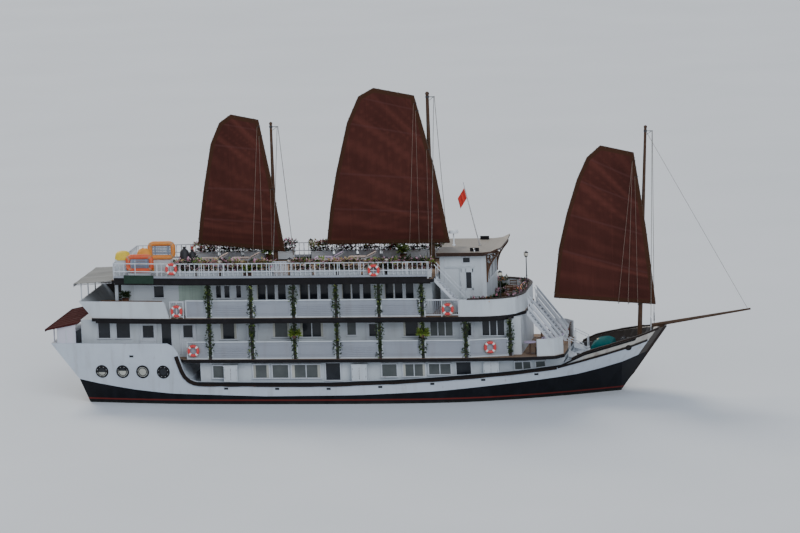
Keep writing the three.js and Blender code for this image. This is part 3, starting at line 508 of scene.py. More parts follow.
@dataclass(frozen=True)
class SailCanvas(Canvas):
    """Sail canvas, with a brown tabling around the edge, paler pocket strips along the battens, and painted highlight
    and painted shade on its folds.
    """

    tabling: Colour = (0.050, 0.022, 0.011)
    pocket: Colour = (0.095, 0.035, 0.032)
    tabling_width: float = 0.11

    def dress(self, board: Board) -> None:
        """Builds the node tree."""
        patches = board.patches(1.6, (0.32, 0.72), 1.0, (1.0, 1.0, 0.6), 4.0)
        made = board.mix(patches, self.shade(0.84), self.shade(self.fade))
        made = board.mix(board.patches(0.1, (0.45, 0.78), 0.4, (1.0, 1.0, 0.12), 5.0), made, self.shade(0.65))
        seam = self.seam(board, (0.475, 0.49))
        made = board.mix(board.sum("MULTIPLY", seam, 0.2), made, self.shade(1.9))
        fold = board.attribute("fold")
        # painted shade in the hollows between the folds, then painted highlight on the fold ridges
        made = board.mix(board.reach(fold, (0.0, 0.2), (0.3, 0.0)), made, self.shade(0.7))
        made = board.mix(board.reach(fold, (0.1, 1.0), (0.0, 0.6)), made, self.shade(2.0))
        made = board.mix(board.reach(board.attribute("pocket"), (0.35, 0.8), (0.0, 0.4)), made, self.pocket)
        width = (self.tabling_width - 0.008, self.tabling_width + 0.008)
        rim = board.reach(board.attribute("edge"), width, (0.85, 0.0))
        board.set(Base_Color=board.mix(rim, made, self.tabling))
        board.set(Roughness=self.roughness, Sheen_Weight=0.04, Sheen_Roughness=0.5, Specular_IOR_Level=0.15)
        board.bump(board.sum("ADD", self.threads(board, seam), board.noise(0.06, detail=6.0)), 0.0016)


@dataclass(frozen=True)
class Moulded(Finish):
    """Moulded foam, plastic or rubber with a faint skin texture and scuffs."""

    scuff: float = 0.35

    def dress(self, board: Board) -> None:
        """Builds the node tree."""
        scuffs = board.patches(0.07, (0.5, 0.75), self.scuff, detail=6.0)
        board.set(Base_Color=board.mix(scuffs, self.colour, self.shade(0.55)))
        self.roughen(board, scuffs, (0.0, 0.4), (1.0, 1.25))
        board.bump(board.noise(0.02, detail=4.0), 0.0006)


@dataclass(frozen=True)
class Metal(Finish):
    """Bare or galvanised metal with dull patches."""

    metallic: float = 0.85

    def dress(self, board: Board) -> None:
        """Builds the node tree."""
        patches = board.patches(0.06, (0.4, 0.7), detail=6.0)
        board.set(Base_Color=board.mix(patches, self.shade(0.7), self.shade(1.2)), Metallic=self.metallic)
        self.roughen(board, patches, (0.0, 1.0), (0.8, 1.35))
        board.bump(board.noise(0.015), 0.0004)


@dataclass(frozen=True)
class Glass(Finish):
    """Dark window glass with a faint waviness and clouding."""

    clouding: Colour = (0.035, 0.04, 0.048)

    def dress(self, board: Board) -> None:
        """Builds the node tree."""
        cloud = board.patches(0.5, (0.4, 0.75), 0.5)
        board.set(Base_Color=board.mix(cloud, self.colour, self.clouding), Specular_IOR_Level=0.35)
        self.roughen(board, cloud, (0.0, 0.5), (1.0, 2.5))
        board.bump(board.noise(0.3, detail=1.0), 0.0008)


@dataclass(frozen=True)
class Foliage(Finish):
    """Leaves that vary from one to the next between two greens."""

    second: Colour = (0.16, 0.20, 0.03)

    def dress(self, board: Board) -> None:
        """Builds the node tree."""
        spread = board.patches(0.05, (0.38, 0.66))
        board.set(Base_Color=board.mix(spread, self.colour, self.second), Roughness=self.roughness)
        board.set(Subsurface_Weight=0.08, Subsurface_Scale=0.01)
        board.bump(board.noise(0.01), 0.0008)


@dataclass(frozen=True)
class GalleryPaint(Paint):
    """White gallery panels, darkened as painted shade under the deck above, whose pillars, set at even bays, are
    painted dark.
    """

    pillar: Colour = (0.030, 0.026, 0.026)
    first: float = -8.4
    spacing: float = 2.64
    half: float = 0.085

    def dress(self, board: Board) -> None:
        """Builds the node tree."""
        super().dress(board)
        start = (self.first - self.spacing / 2) * SHIP_SCALE
        along = board.sum("SUBTRACT", board.position("X"), start)
        away = board.off_middle(along, self.spacing * SHIP_SCALE)
        board.tint(board.sum("LESS_THAN", away, self.half / self.spacing), self.pillar)


@dataclass(frozen=True)
class HullPaint(Paint):
    """White topsides whose bow, above the wale, is a warmer and rustier cream, with painted shade on the inner faces
    of the bow's well and a dark band along the stem.

    The wale and the stem are each a slope and the place that it starts from, and the bow's well starts at a
    place along the model.
    """

    warm: Colour = (0.50, 0.46, 0.38)
    stain: Colour = (0.20, 0.11, 0.06)
    dark: Colour = (0.030, 0.022, 0.017)
    wale: Span = (0.232, -0.486)
    stem: Span = (0.7265, 7.947)
    well: float = 6.75

    def dress(self, board: Board) -> None:
        """Builds the node tree."""
        super().dress(board)
        along, height = board.position("X"), board.position("Z")
        rise = board.sum("SUBTRACT", height, board.sum("MULTIPLY", along, self.wale[0]))
        above = board.sum("GREATER_THAN", rise, self.wale[1])
        fore = board.reach(along, (6.6, 7.4), (0.0, 0.8))
        runs = board.patches(0.16, (0.50, 0.72), 0.6, (1.0, 1.0, 0.25), 6.0)
        board.tint(board.sum("MULTIPLY", above, fore), board.mix(runs, self.warm, self.stain))
        # painted shade on the inner faces of the bow's well; the dark band along the stem is paint
        well = board.sum("MULTIPLY", board.facing_in(), board.sum("GREATER_THAN", along, self.well))
        lean = board.sum("SUBTRACT", along, board.sum("MULTIPLY", height, self.stem[0]))
        board.tint(board.sum("MAXIMUM", well, board.sum("GREATER_THAN", lean, self.stem[1])), self.dark)


@dataclass(frozen=True)
class CanopyPaint(Paint):
    """Dark red roof paint above the eaves line and pale screen paint below it."""

    screen: Colour = (0.56, 0.55, 0.62)
    aft: Span = (-18.8, 4.575)
    fore: Span = (-16.7, 5.005)

    def dress(self, board: Board) -> None:
        """Builds the node tree."""
        super().dress(board)
        slope = (self.fore[1] - self.aft[1]) / (self.fore[0] - self.aft[0])
        rise = board.sum("SUBTRACT", board.position("Z"), board.sum("MULTIPLY", board.position("X"), slope))
        line = (self.aft[1] - slope * self.aft[0]) * SHIP_SCALE
        board.tint(board.sum("LESS_THAN", rise, line), self.screen)


WHITE = Paint("white_gloss_paint", (0.57, 0.60, 0.64), 0.38, "white_paint", rust_share=0.25)
HOUSE_WHITE = Paint("house_paint", (0.54, 0.58, 0.61), 0.45, "white_paint", dirt_share=0.22)
# the stern bulwark's inner face takes painted shade
STERN_WHITE = InnerShadedPaint("stern_bulwark_paint", (0.54, 0.58, 0.61), 0.45, "white_paint", dirt_share=0.22)
HULL_WHITE = HullPaint("white_topsides", (0.52, 0.57, 0.63), 0.4, "white_paint", rust_share=0.3)
# painted shade: the gallery white and the grille grey are white paint darkened for the shade under the deck above
GALLERY_PAINTED_SHADE = GalleryPaint("gallery_paint", (0.29, 0.31, 0.35), 0.45, "white_paint", dirt_share=0.25)
GRILLE_PAINTED_SHADE = Paint("grille_paint", (0.30, 0.32, 0.36), 0.5, "white_paint")
BLACK = BottomPaint("black_bottom_paint", (0.0045, 0.005, 0.007), 0.45, "bottom_paint", gloss=0.15)
EDGE = Paint("black_edge_paint", (0.009, 0.008, 0.009), 0.5, "edge_paint", (0.03, 0.025, 0.02), gloss=0.15)
TRIM = Paint("rust_flecked_trim", (0.018, 0.012, 0.010), 0.55, "edge_paint", (0.06, 0.03, 0.015), 0.30, 0.5,
             gloss=0.15)
DECK = DeckFinish("deck_planks_black_edge", (0.008, 0.007, 0.008), 0.5, "edge_paint", gloss=0.15)
CANOPY = CanopyPaint("stern_canopy_paint", (0.055, 0.013, 0.012), 0.9, "canopy_red", (0.05, 0.03, 0.025),
                     gloss=0.05)
CANOPY_RIBS = Paint("canopy_rib_paint", (0.050, 0.012, 0.011), 0.75, "canopy_red", (0.05, 0.03, 0.025),
                    gloss=0.1)
MAST_TIMBER = Timber("mast_timber", (0.062, 0.031, 0.016), 0.5, "timber")
SPAR_TIMBER = Timber("spar_timber", (0.060, 0.033, 0.018), 0.5, "timber", Grain.FORE_AND_AFT)
CABIN_ROOF = RoofBoards("cabin_roof_boards", (0.055, 0.026, 0.016), 0.55, "timber", Grain.ACROSS)
ROOF_TIMBER = Timber("roof_timber", (0.055, 0.026, 0.016), 0.55, "timber", Grain.ACROSS)
JOINERY = Timber("joinery_timber", (0.085, 0.040, 0.020), 0.42, "timber")
DOOR_TIMBER = Timber("door_timber", (0.030, 0.015, 0.009), 0.45, "timber")
RAIL_TIMBER = Timber("rail_timber", (0.12, 0.062, 0.032), 0.4, "timber", Grain.FORE_AND_AFT)
SAIL = SailCanvas("sail_canvas", (0.060, 0.0175, 0.0130), 0.9, "sailcloth", 0.62)
AWNING = Canvas("awning_canvas", (0.18, 0.18, 0.165), 0.85, "awning_cloth", 0.55, "Y", fade=1.15)
TARP = Canvas("teal_tarpaulin", (0.002, 0.085, 0.088), 0.6, "tarpaulin", 0.5, fade=1.1, sheen=0.0, gloss=0.04)
FLAG = Canvas("flag_bunting", (0.62, 0.035, 0.02), 0.8, None, 4.0, weave=0.002, fade=1.1)
TARRED = Canvas("tarred_line", (0.085, 0.055, 0.028), 0.9, "rigging", 9.0, weave=0.006, fade=1.2)
LIGHT_LINE = Canvas("light_line", (0.27, 0.20, 0.16), 0.9, "rigging", 9.0, weave=0.006, fade=1.2)
ROPE = Canvas("rope_lay", (0.42, 0.34, 0.22), 0.9, "rigging", 9.0, weave=0.006, fade=1.2)
MINT_CLOTH = Canvas("pale_green_blind", (0.40, 0.50, 0.43), 0.9, None, 0.3, weave=0.003, fade=1.1)
CURTAIN = Canvas("curtain_cloth", (0.50, 0.50, 0.44), 0.9, None, 3.0, weave=0.003, fade=1.1)
CUSHION = Canvas("cushion_cloth", (0.58, 0.46, 0.40), 0.9, None, 3.0, fade=1.1)
RED_CLOTH = Canvas("faded_red_cloth", (0.30, 0.10, 0.10), 0.9, None, 3.0, fade=1.3)
LILAC_CLOTH = Canvas("lilac_cloth", (0.42, 0.34, 0.48), 0.9, None, 3.0, fade=1.2)
FLOAT = Moulded("float_foam", (0.66, 0.10, 0.03), 0.55, "raft_rubber")
FLOAT_AMBER = Moulded("float_foam_faded", (0.72, 0.25, 0.045), 0.55, "raft_rubber")
FLOAT_GREY = Moulded("float_floor_board", (0.20, 0.25, 0.33), 0.6, "raft_rubber")
BUOY_RED = Moulded("buoy_red", (0.62, 0.05, 0.045))
BUOY_WHITE = Moulded("buoy_white", (0.78, 0.72, 0.72))
YELLOW = Moulded("yellow_cover", (0.72, 0.52, 0.04), 0.6)
AMBER = Moulded("amber_cover", (0.74, 0.30, 0.04), 0.6)
PLASTIC_WHITE = Moulded("white_plastic", (0.72, 0.75, 0.78), 0.4, scuff=0.2)
DARK_GOODS = Moulded("dark_covers", (0.018, 0.018, 0.022), 0.6)
GREEN_BOX = Moulded("dark_green_covers", (0.008, 0.030, 0.017), 0.8)
LAMP_GLOBE = Moulded("lamp_globe", (0.62, 0.58, 0.48), 0.3, scuff=0.15)
POT = Moulded("glazed_pot", (0.10, 0.045, 0.03), 0.35)
WIRE = Metal("galvanised_wire", (0.30, 0.28, 0.25), 0.5, "rigging")
STEEL = Metal("stainless_fittings", (0.55, 0.55, 0.56), 0.3, "rigging")
BRONZE = Metal("propeller_bronze", (0.50, 0.33, 0.13), 0.38, "bronze")
IRON = Metal("deck_iron", (0.05, 0.05, 0.055), 0.6, "edge_paint", 0.4)
GLASS = Glass("window_glass", (0.012, 0.014, 0.018), 0.12)
VEILED_GLASS = Glass("veiled_glass", (0.07, 0.08, 0.08), 0.3, clouding=(0.17, 0.18, 0.17))
LEAVES = Foliage("creeper_leaves", (0.008, 0.020, 0.007), 0.6, second=(0.035, 0.060, 0.015))
BRIGHT_LEAVES = Foliage("fern_leaves", (0.07, 0.14, 0.02), second=(0.26, 0.32, 0.05))
GOLD_LEAVES = Foliage("dry_leaves", (0.20, 0.15, 0.05), 0.6, second=(0.40, 0.30, 0.12))
PETALS = Foliage("flower_petals", (0.45, 0.10, 0.20), 0.6, second=(0.62, 0.50, 0.55))
BLOOMS = Foliage("orange_blooms", (0.50, 0.13, 0.03), 0.6, second=(0.62, 0.45, 0.25))

NODE_FINISHES: dict[Finish, str] = {
    BLACK: "hull_bottom rudder_*",
    HULL_WHITE: "hull_topsides",
    EDGE: "rub_rail_*",
    DECK: "deck_2 deck_3 sun_deck",
    GALLERY_PAINTED_SHADE: "gallery_2_* gallery_3_*",
    STERN_WHITE: "stern_bulwark",
    HOUSE_WHITE: "house_1 house_2 house_3 terrace_bulwark lounge_bulwark_* cabin_base cabin_side_*"
                 " cabin_front cabin_back cabin_door_* raft_locker",
    WHITE: "sun_deck_rail sun_deck_stair_* terrace_stair_* foredeck_stair_*",
    CABIN_ROOF: "cabin_roof",
    MAST_TIMBER: "fore_mast main_mast aft_mast",
    SPAR_TIMBER: "fore_sail_frame main_sail_frame aft_sail_frame bowsprit",
    WIRE: "forestay",
    BRONZE: "propeller_*",
    CANOPY: "stern_canopy",
    STEEL: "flagpole",
    IRON: "windlass",
    TARP: "foredeck_locker",
    AWNING: "stern_awning",
    FLOAT: "raft_outer raft_inner",
}


def spans(starts: Iterable[float], width: float) -> list[Span]:
    """Gives spans of one width from where each starts."""
    return [(start, start + width) for start in starts]


def spaced(first: float, last: float, count: int) -> list[float]:
    """Gives evenly spaced numbers, with both ends."""
    return [first + (last - first) * i / (count - 1) for i in range(count)]


@dataclass
class Place:
    """A local frame on the ship: an origin in full-size metres, with directions along, up and outward."""

    origin: Vector
    along: Vector = field(default_factory=ALONG.copy)
    up: Vector = field(default_factory=UPWARD.copy)
    out: Vector = field(default_factory=lambda: -ABEAM)

    def at(self, along: float, up: float, out: float = 0.0) -> Vector:
        """Gives the point at three distances from the origin."""
        return self.origin + self.along * along + self.up * up + self.out * out

    def moved(self, along: float, up: float = 0.0, out: float = 0.0) -> "Place":
        """Gives the same frame with its origin moved."""
        return Place(self.at(along, up, out), self.along, self.up, self.out)

    def circle(self, radius: float, count: int, out: float = 0.0) -> list[Vector]:
        """Gives points of a circle about the outward direction."""
        turns = [2 * math.pi * i / count for i in range(count)]
        return [self.at(radius * math.cos(t), radius * math.sin(t), out) for t in turns]


def upright(x: float, y: float, z: float, turn: float = 0.0) -> Place:
    """Gives an upright frame turned about the vertical by degrees; at 0 its outward side faces starboard."""
    spin = Matrix.Rotation(math.radians(turn), 3, "Z")
    return Place(Vector((x, y, z)), spin @ ALONG, UPWARD, spin @ -ABEAM)


def curve_through(points: list[Vector], steps: int) -> list[Vector]:
    """Gives a smooth path through points.

    Args:
        points: the points.
        steps: the number of steps from each point to the next.

    Returns:
        The path.
    """
    path = []
    last = len(points) - 1
    for i, k in product(range(last), range(steps)):
        a, b = points[max(i - 1, 0)], points[i]
        c, d = points[i + 1], points[min(i + 2, last)]
        t = k / steps
        cubic = (3 * b - a - 3 * c + d) * t ** 3
        path.append(0.5 * (2 * b + (c - a) * t + (2 * a - 5 * b + 4 * c - d) * t * t + cubic))
    return path + points[-1:]


def add_object(name: str, data: bpy.types.ID) -> bpy.types.Object:
    """Adds an object with its data to the scene."""
    made = bpy.data.objects.new(name, data)
    bpy.context.scene.collection.objects.link(made)
    return made


def dress_mesh(mesh: bpy.types.Mesh, finishes: list[Finish], numbers: list[int], smooth: float) -> None:
    """Gives a mesh its finishes and its shading.

    Args:
        mesh: the mesh.
        finishes: the finishes, in the order of their numbers.
        numbers: the number of each face's finish.
        smooth: the angle in degrees below which edges are shaded smooth.
    """
    mesh.materials.clear()
    for finish in finishes:
        mesh.materials.append(finish.material())
    mesh.polygons.foreach_set("material_index", numbers)
    mesh.polygons.foreach_set("use_smooth", [True] * len(numbers))
    mesh.set_sharp_from_angle(angle=math.radians(smooth))


class Probe:
    """Finds places on a built part's surface, in full-size metres."""

    @staticmethod
    @cache
    def tree(node: str) -> BVHTree:
        """Gives the search tree of one part."""
        mesh = frame["nodes"][node].data
        points = [vertex.co / SHIP_SCALE for vertex in mesh.vertices]
        return BVHTree.FromPolygons(points, [tuple(p.vertices) for p in mesh.polygons])

    @classmethod
    def hit(cls, node: str, start: Vector, direction: Vector) -> Vector:
        """Looks along a line for a part's surface.

        Args:
            node: the part.
            start: where the line starts.
            direction: the way that it runs.

        Returns:
            The point that it meets.

        Raises:
            ValueError: if the line misses the part.
        """
        point = cls.tree(node).ray_cast(start, direction)[0]
        if point is None:
            raise ValueError(f"no surface of {node} from {tuple(start)} along {tuple(direction)}")
        return point

    @classmethod
    def side(cls, node: str, x: float, z: float, side: int) -> Vector:
        """Gives the outer point of a part's side at a place along the ship and a height."""
        return cls.hit(node, Vector((x, side * 9.0, z)), Vector((0, -side, 0)))

    @classmethod
    def top(cls, node: str, x: float, y: float) -> Vector:
        """Gives the highest point of a part at a place in plan."""
        return cls.hit(node, Vector((x, y, 30.0)), -UPWARD)

    @classmethod
    def panel(cls, node: str, x: float, z: float, size: Span, side: int) -> Place:
        """Gives the frame for something flat that is fixed to a part's side.

        Args:
            node: the part.
            x: the place of its middle along the ship.
            z: the height of its middle.
            size: its width and its height.
            side: the ship's side.

        Returns:
            The frame, whose along side always runs towards the bow.
        """
        w, h = size[0] / 2, size[1] / 2
        along = (cls.side(node, x + w, z, side) - cls.side(node, x - w, z, side)).normalized()
        up = (cls.side(node, x, z + h, side) - cls.side(node, x, z - h, side)).normalized()
        out = along.cross(up).normalized()
        return Place(cls.side(node, x, z, side), along, up, out if out.y * side > 0 else -out)

    @classmethod
    def deck_edge(cls, x: float, side: int, inset: float) -> float:
        """Gives the place abeam that lies a distance inside the sun deck's edge."""
        return cls.side("sun_deck", x, SUN_DECK - 0.1, side).y - side * inset


class Shape:
    """Gathers the faces of one piece in full-size metres, each with the number of its finish."""

    def __init__(self) -> None:
        """Starts an empty piece."""
        self.points: list[Vector] = []
        self.faces: list[tuple[int, ...]] = []
        self.numbers: list[int] = []

    def face(self, corners: Iterable[int], finish: int = 0) -> None:
        """Adds one face."""
        self.faces.append(tuple(corners))
        self.numbers.append(finish)

    def block(self, place: Place, along: Span, up: Span, out: Span, finish: int = 0) -> None:
        """Adds a rectangular block.

        Args:
            place: the frame that it stands in.
            along: its ends along the frame.
            up: its foot and head.
            out: its inner and outer sides.
            finish: the number of its finish.
        """
        base = len(self.points)
        self.points += [place.at(a, u, o) for o in out for u in up for a in along]
        turned = place.along.cross(place.up).dot(place.out) * (along[1] - along[0]) > 0
        for quad in ((0, 1, 3, 2), (4, 6, 7, 5), (0, 4, 5, 1), (2, 3, 7, 6), (0, 2, 6, 4), (1, 5, 7, 3)):
            self.face([base + i for i in (quad[::-1] if turned else quad)], finish)

    def blocks(self, place: Place, along: list[Span], up: list[Span], out: Span, finish: int = 0) -> None:
        """Adds a block for each choice of its ends along the frame and of its foot and head."""
        for ends, heights in product(along, up):
            self.block(place, ends, heights, out, finish)

    def loft(self, rings: list[list[Vector]], finish: int = 0, closed: bool = False) -> None:
        """Adds a skin through rings of points, with its ends closed.

        Args:
            rings: the rings, each with the same number of points.
            finish: the number of its finish.
            closed: joins the last ring to the first.
        """
        base, count, total = len(self.points), len(rings[0]), len(rings)
        for ring in rings:
            self.points += ring
        for r, i in product(range(total if closed else total - 1), range(count)):
            here, there = base + r * count, base + (r + 1) % total * count
            j = (i + 1) % count
            self.face([here + i, here + j, there + j, there + i], finish)
        if not closed:
            self.face([base + i for i in reversed(range(count))], finish)
            self.face([base + (total - 1) * count + i for i in range(count)], finish)

    def grid(self, rows: list[list[Vector]], turned: bool = True) -> None:
        """Adds an open skin over rows of points.

        Args:
            rows: the rows, each with the same number of points.
            turned: makes its faces look the other way.
        """
        base, wide = len(self.points), len(rows[0])
        for row in rows:
            self.points += row
        for r, c in product(range(len(rows) - 1), range(wide - 1)):
            corner = base + r * wide + c
            ahead, behind = (wide, 1) if turned else (1, wide)
            self.face([corner, corner + ahead, corner + wide + 1, corner + behind])

    def tube(self, path: list[Vector], radius: float | list[float], sides: int = 8, finish: int = 0,
             closed: bool = False) -> None:
        """Adds a round bar along a path.

        Args:
            path: the points that its middle follows.
            radius: its radius, or one for each point.
            sides: the number of its sides.
            finish: the number of its finish.
            closed: joins its end to its start.
        """
        radii = radius if isinstance(radius, list) else [radius] * len(path)
        rings = []
        across = None
        last = len(path) - 1
        for i, point in enumerate(path):
            ahead = path[(i + 1) % len(path)] if closed else path[min(i + 1, last)]
            behind = path[i - 1] if closed or i else path[0]
            heading = (ahead - behind).normalized()
            across = across or heading.orthogonal()
            across = (across - heading * across.dot(heading)).normalized()
            rings.append(Place(point, across, heading.cross(across)).circle(radii[i], sides))
        self.loft(rings, finish, closed)

    def prism(self, outline: list[Vector], depth: Vector, finish: int = 0) -> None:
        """Adds a flat plate from its outline and its depth."""
        self.loft([outline, [point + depth for point in outline]], finish)

    def disc(self, place: Place, radius: float, sides: int, outs: Span) -> None:
        """Adds a round plate that faces outward from its frame, between two distances out."""
        self.loft([place.circle(radius, sides, out) for out in outs])

    def hoop(self, place: Place, radius: float, tube: float, finish: int = 0, steps: int = 24,
             sides: int = 8, arc: Span = (0.0, 360.0)) -> None:
        """Adds a round ring, or a part of one, that faces outward from its frame.

        Args:
            place: the frame at its middle.
            radius: the radius to the middle of its section.
            tube: the radius of its section.
            finish: the number of its finish.
            steps: the number of points in a full ring.
            sides: the number of sides of its section.
            arc: where it starts and ends, in degrees.
        """
        whole = arc[1] - arc[0] >= 360.0
        count = max(3, round(steps * (arc[1] - arc[0]) / 360.0))
        turns = [math.radians(turn) for turn in spaced(*arc, count + 1)[:count + (not whole)]]
        path = [place.at(radius * math.cos(t), radius * math.sin(t)) for t in turns]
        self.tube(path, tube, sides, finish, closed=whole)

    def lathe(self, place: Place, profile: Iterable[Span], finish: int = 0, steps: int = 16) -> None:
        """Adds a turned shape that stands along its frame's up direction.

        Args:
            place: the frame at its foot.
            profile: radius and height of each ring, from the foot up.
            finish: the number of its finish.
            steps: the number of sides.
        """
        lying = Place(place.origin, place.along, -place.out, place.up)
        self.loft([lying.circle(radius, steps, height) for radius, height in profile], finish)

    def leaf(self, point: Vector, heading: Vector, size: float, finish: int = 0) -> None:
        """Adds a small folded leaf with two faces.

        Args:
            point: its root.
            heading: the way that it points.
            size: its length.
            finish: the number of its finish.
        """
        side = heading.cross(UPWARD + Vector((0.01, 0.02, 0.0))).normalized() * size * 0.36
        middle = point + heading * size * 0.5 - UPWARD * size * 0.18
        base = len(self.points)
        self.points += [point, middle + side, point + heading * size, middle - side]
        self.face([base, base + 1, base + 2], finish)
        self.face([base, base + 2, base + 3], finish)

    def build(self, name: str, finishes: list[Finish], body: str = "root", bevel: float = 0.0,
              smooth: float = 38.0) -> bpy.types.Object:
        """Makes the piece.

        Args:
            name: the piece's name.
            finishes: its finishes, in the order of their numbers.
            body: the body that it rides on.
            bevel: the width of the bevel on its edges.
            smooth: the angle in degrees below which edges are shaded smooth.

        Returns:
            The new object.
        """
        mesh = bpy.data.meshes.new(name)
        mesh.from_pydata([point * SHIP_SCALE for point in self.points], [], self.faces)
        mesh.update()
        dress_mesh(mesh, finishes, self.numbers, smooth)
        piece = add_object(name, mesh)
        if bevel:
            edge = piece.modifiers.new("worn_edges", "BEVEL")
            edge.width = bevel * SHIP_SCALE
            edge.segments = 1
            edge.limit_method = "ANGLE"
            edge.angle_limit = math.radians(40)
        if finishes[0].slot:
            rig.slot(piece, finishes[0].slot)
        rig.ride(piece, body)
        LOG.info("%s: %d faces on %s", name, len(self.faces), body)
        return piece

    def cloth(self, name: str, finish: Finish, thick: float, body: str = "root", smooth: float = 80.0,
              offset: float = 0.0) -> bpy.types.Object:
        """Makes the piece as cloth.

        Args:
            name: the piece's name.
            finish: its finish.
            thick: its thickness in model metres.
            body: the body that it rides on.
            smooth: the angle in degrees below which edges are shaded smooth.
            offset: the side that it thickens to, from -1 to 1.

        Returns:
            The new object.
        """
        piece = self.build(name, [finish], body, smooth=smooth)
        solid = piece.modifiers.new("cloth_thickness", "SOLIDIFY")
        solid.thickness = thick
        solid.offset = offset
        return piece


@dataclass
class Sail:
    """One battened sail: a stretched cloth over a pipe frame, with pockets, lashings and lazy jacks.

    The outline runs from the clew by the tack, the luff, the head and down the leech, along the ship and up.
    Each batten joins a point of the outline, by its number, to a share of the luff's height.
    """

    name: str
    mast: float
    outline: list[Span]
    battens: list[Span]
    base: float = -0.358
    pipe: float = -0.30
    lash: float = 0.082
    billow: float = 0.08
    fold: float = 0.035
    folds: float = 52.0
    jacks: tuple[float, ...] = (0.1, 0.7, 1.3)
    rows: int = 14
    columns: int = 72

    def __post_init__(self) -> None:
        """Keeps the outline's corners and edges, and the point that the folds fan from."""
        self.corners = [Vector(point) for point in self.outline]
        self.edges = list(zip(self.corners, self.corners[1:] + self.corners[:1]))
        self.focus = self.corners[1] + Vector((5.5, self.corners[0].y - self.corners[1].y - 0.4))

    def luff(self, share: float) -> Vector:
        """Gives the point of the luff at a share of its height."""
        start, middle, end = self.corners[1:4]
        return start.lerp(middle, share * 2) if share < 0.5 else middle.lerp(end, share * 2 - 1)

    def keys(self) -> list[tuple[Vector, Vector]]:
        """Gives the leech and luff ends of the foot, of each batten and of the head."""
        ends = [(0, 0.0), *self.battens, (4, 1.0)]
        return [(self.corners[index], self.luff(share)) for index, share in ends]

    def distance(self, point: Vector) -> float:
        """Gives how far a point of the sail is from its outline."""
        best = 99.0
        for a, b in self.edges:
            along = b - a
            share = min(1.0, max(0.0, (point - a).dot(along) / along.length_squared))
            best = min(best, (point - a - along * share).length)
        return best

    def fan(self, point: Vector) -> float:
        """Gives 1 on the long folds that fall from the leech to the luff, and 0 between them."""
        arm = self.focus - point
        fall = math.atan2(-arm.y, arm.x)
        wave = math.sin(fall * self.folds + 0.4 * math.sin(arm.length * 0.9))
        fine = math.sin(fall * self.folds * 2.7 + 1.0)
        share = 0.72 + 0.28 * math.sin(fall * 11.0 + arm.length * 0.6)
        return min(1.0, (0.75 * max(0.0, wave) ** 3 + 0.40 * max(0.0, fine) ** 4) * share)

    def surface(self) -> tuple[list[list[Vector]], dict[str, list[float]]]:
        """Shapes the cloth.

        Returns:
            Its rows of points, and for its finish each point's distance from the edge, its share of a
            batten's pocket and its share of a fold.
        """
        keys = self.keys()
        last = len(keys) - 2
        grid, carried = [], {"edge": [], "pocket": [], "fold": []}
        for k, step in product(range(last + 1), range(self.rows + 1)):
            if k < last and step == self.rows:
                continue
            share = 0.5 - 0.5 * math.cos(math.pi * step / self.rows)
            aft, fore = (keys[k][i].lerp(keys[k + 1][i], share) for i in (0, 1))
            gap = min(share, 1.0 - share) * (keys[k + 1][0] - keys[k][0]).length
            strip = math.exp(-(gap / 0.075) ** 2) * (0 < k or share > 0.5) * (k < last or share < 0.5)
            row = []
            for c in range(self.columns + 1):
                point = aft.lerp(fore, c / self.columns)
                rim, fold = self.distance(point), self.fan(point)
                wave = math.sin(point.x * 1.1 + point.y * 0.7) * math.sin(point.y * 0.5 - point.x * 0.3)
                out = self.billow * math.sin(math.pi * share) * min(1.0, rim / 0.9)
                out += (self.fold * fold + 0.010 * wave) * min(1.0, rim / 0.5)
                out = max(out, -0.004) + 0.014 * strip * min(1.0, rim / 0.15)
                row.append(Vector((point.x, self.base - out, point.y)))
                for name, value in zip(carried, (rim * SHIP_SCALE, strip, fold)):
                    carried[name].append(value)
            grid.append(row)
        return grid, carried

    def build(self) -> None:
        """Makes the cloth, its lashings and its lazy jacks."""
        grid, carried = self.surface()
        shape = Shape()
        shape.grid(grid, turned=False)
        cloth = shape.cloth(f"{self.name}_sail_cloth", SAIL, 0.005, f"{self.name}_rig", 70)
        for attribute, values in carried.items():
            cloth.data.attributes.new(attribute, "FLOAT", "POINT").data.foreach_set("value", values)
        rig.replaces(cloth, f"{self.name}_sail")
        size = tuple((max(axis) - min(axis)) * SHIP_SCALE for axis in zip(*self.outline))
        area = abs(sum(a.cross(b) for a, b in self.edges)) / 2
        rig.sheet(cloth, flat=size, held="stretched", rests_on=[f"{self.name}_sail_frame"],
                 area=area * SHIP_SCALE ** 2)
        self.lashings()
        self.lazy_jacks()

    def lazy_jacks(self) -> None:
        """Makes the thin ropes that run down the cloth's face from the luff to the foot."""
        shape = Shape()
        clew, tack = self.corners[:2]
        for reach in self.jacks:
            x = self.mast - reach
            found = [i / 40 for i in range(38, 0, -1) if self.luff(i / 40).x > x + 0.1]
            head = self.luff(found[0] if found else 0.95)
            eye = Vector((head.x, self.pipe, head.y))
            top = eye + Vector((-0.10, -0.22, 0.0))
            shape.tube([eye, eye + Vector((0.08, -0.08, 0.0)), top], 0.015, 6, 1)
            z = clew.y + (tack.y - clew.y) * (x - clew.x) / (tack.x - clew.x)
            low = Vector((x, -0.66, z - 0.09))
            shape.tube([Vector((x, self.pipe, z)), Vector((x, -0.37, z - 0.09)), low], 0.018, 6, 1)
            shape.tube([low, top], 0.009, 5)
        shape.build(f"{self.name}_sail_lazy_jacks", [LIGHT_LINE, IRON], f"{self.name}_rig")

    def lashings(self) -> None:
        """Makes the lashings that hold the cloth's edge to the pipe frame."""
        shape = Shape()
        for a, b in self.edges:
            heading = (b - a).normalized()
            inward = Vector((-heading.y, 0.0, heading.x))
            count = max(2, round((b - a).length / 0.62))
            for k in range(count):
                spot = a.lerp(b, (k + 0.5) / count)
                middle = Vector((spot.x, self.pipe - 0.012, spot.y)) + inward * 0.012
                shape.tube(Place(middle, inward, ABEAM).circle(self.lash, 12), 0.014, 5, closed=True)
        shape.build(f"{self.name}_sail_lashings", [TARRED], f"{self.name}_rig")


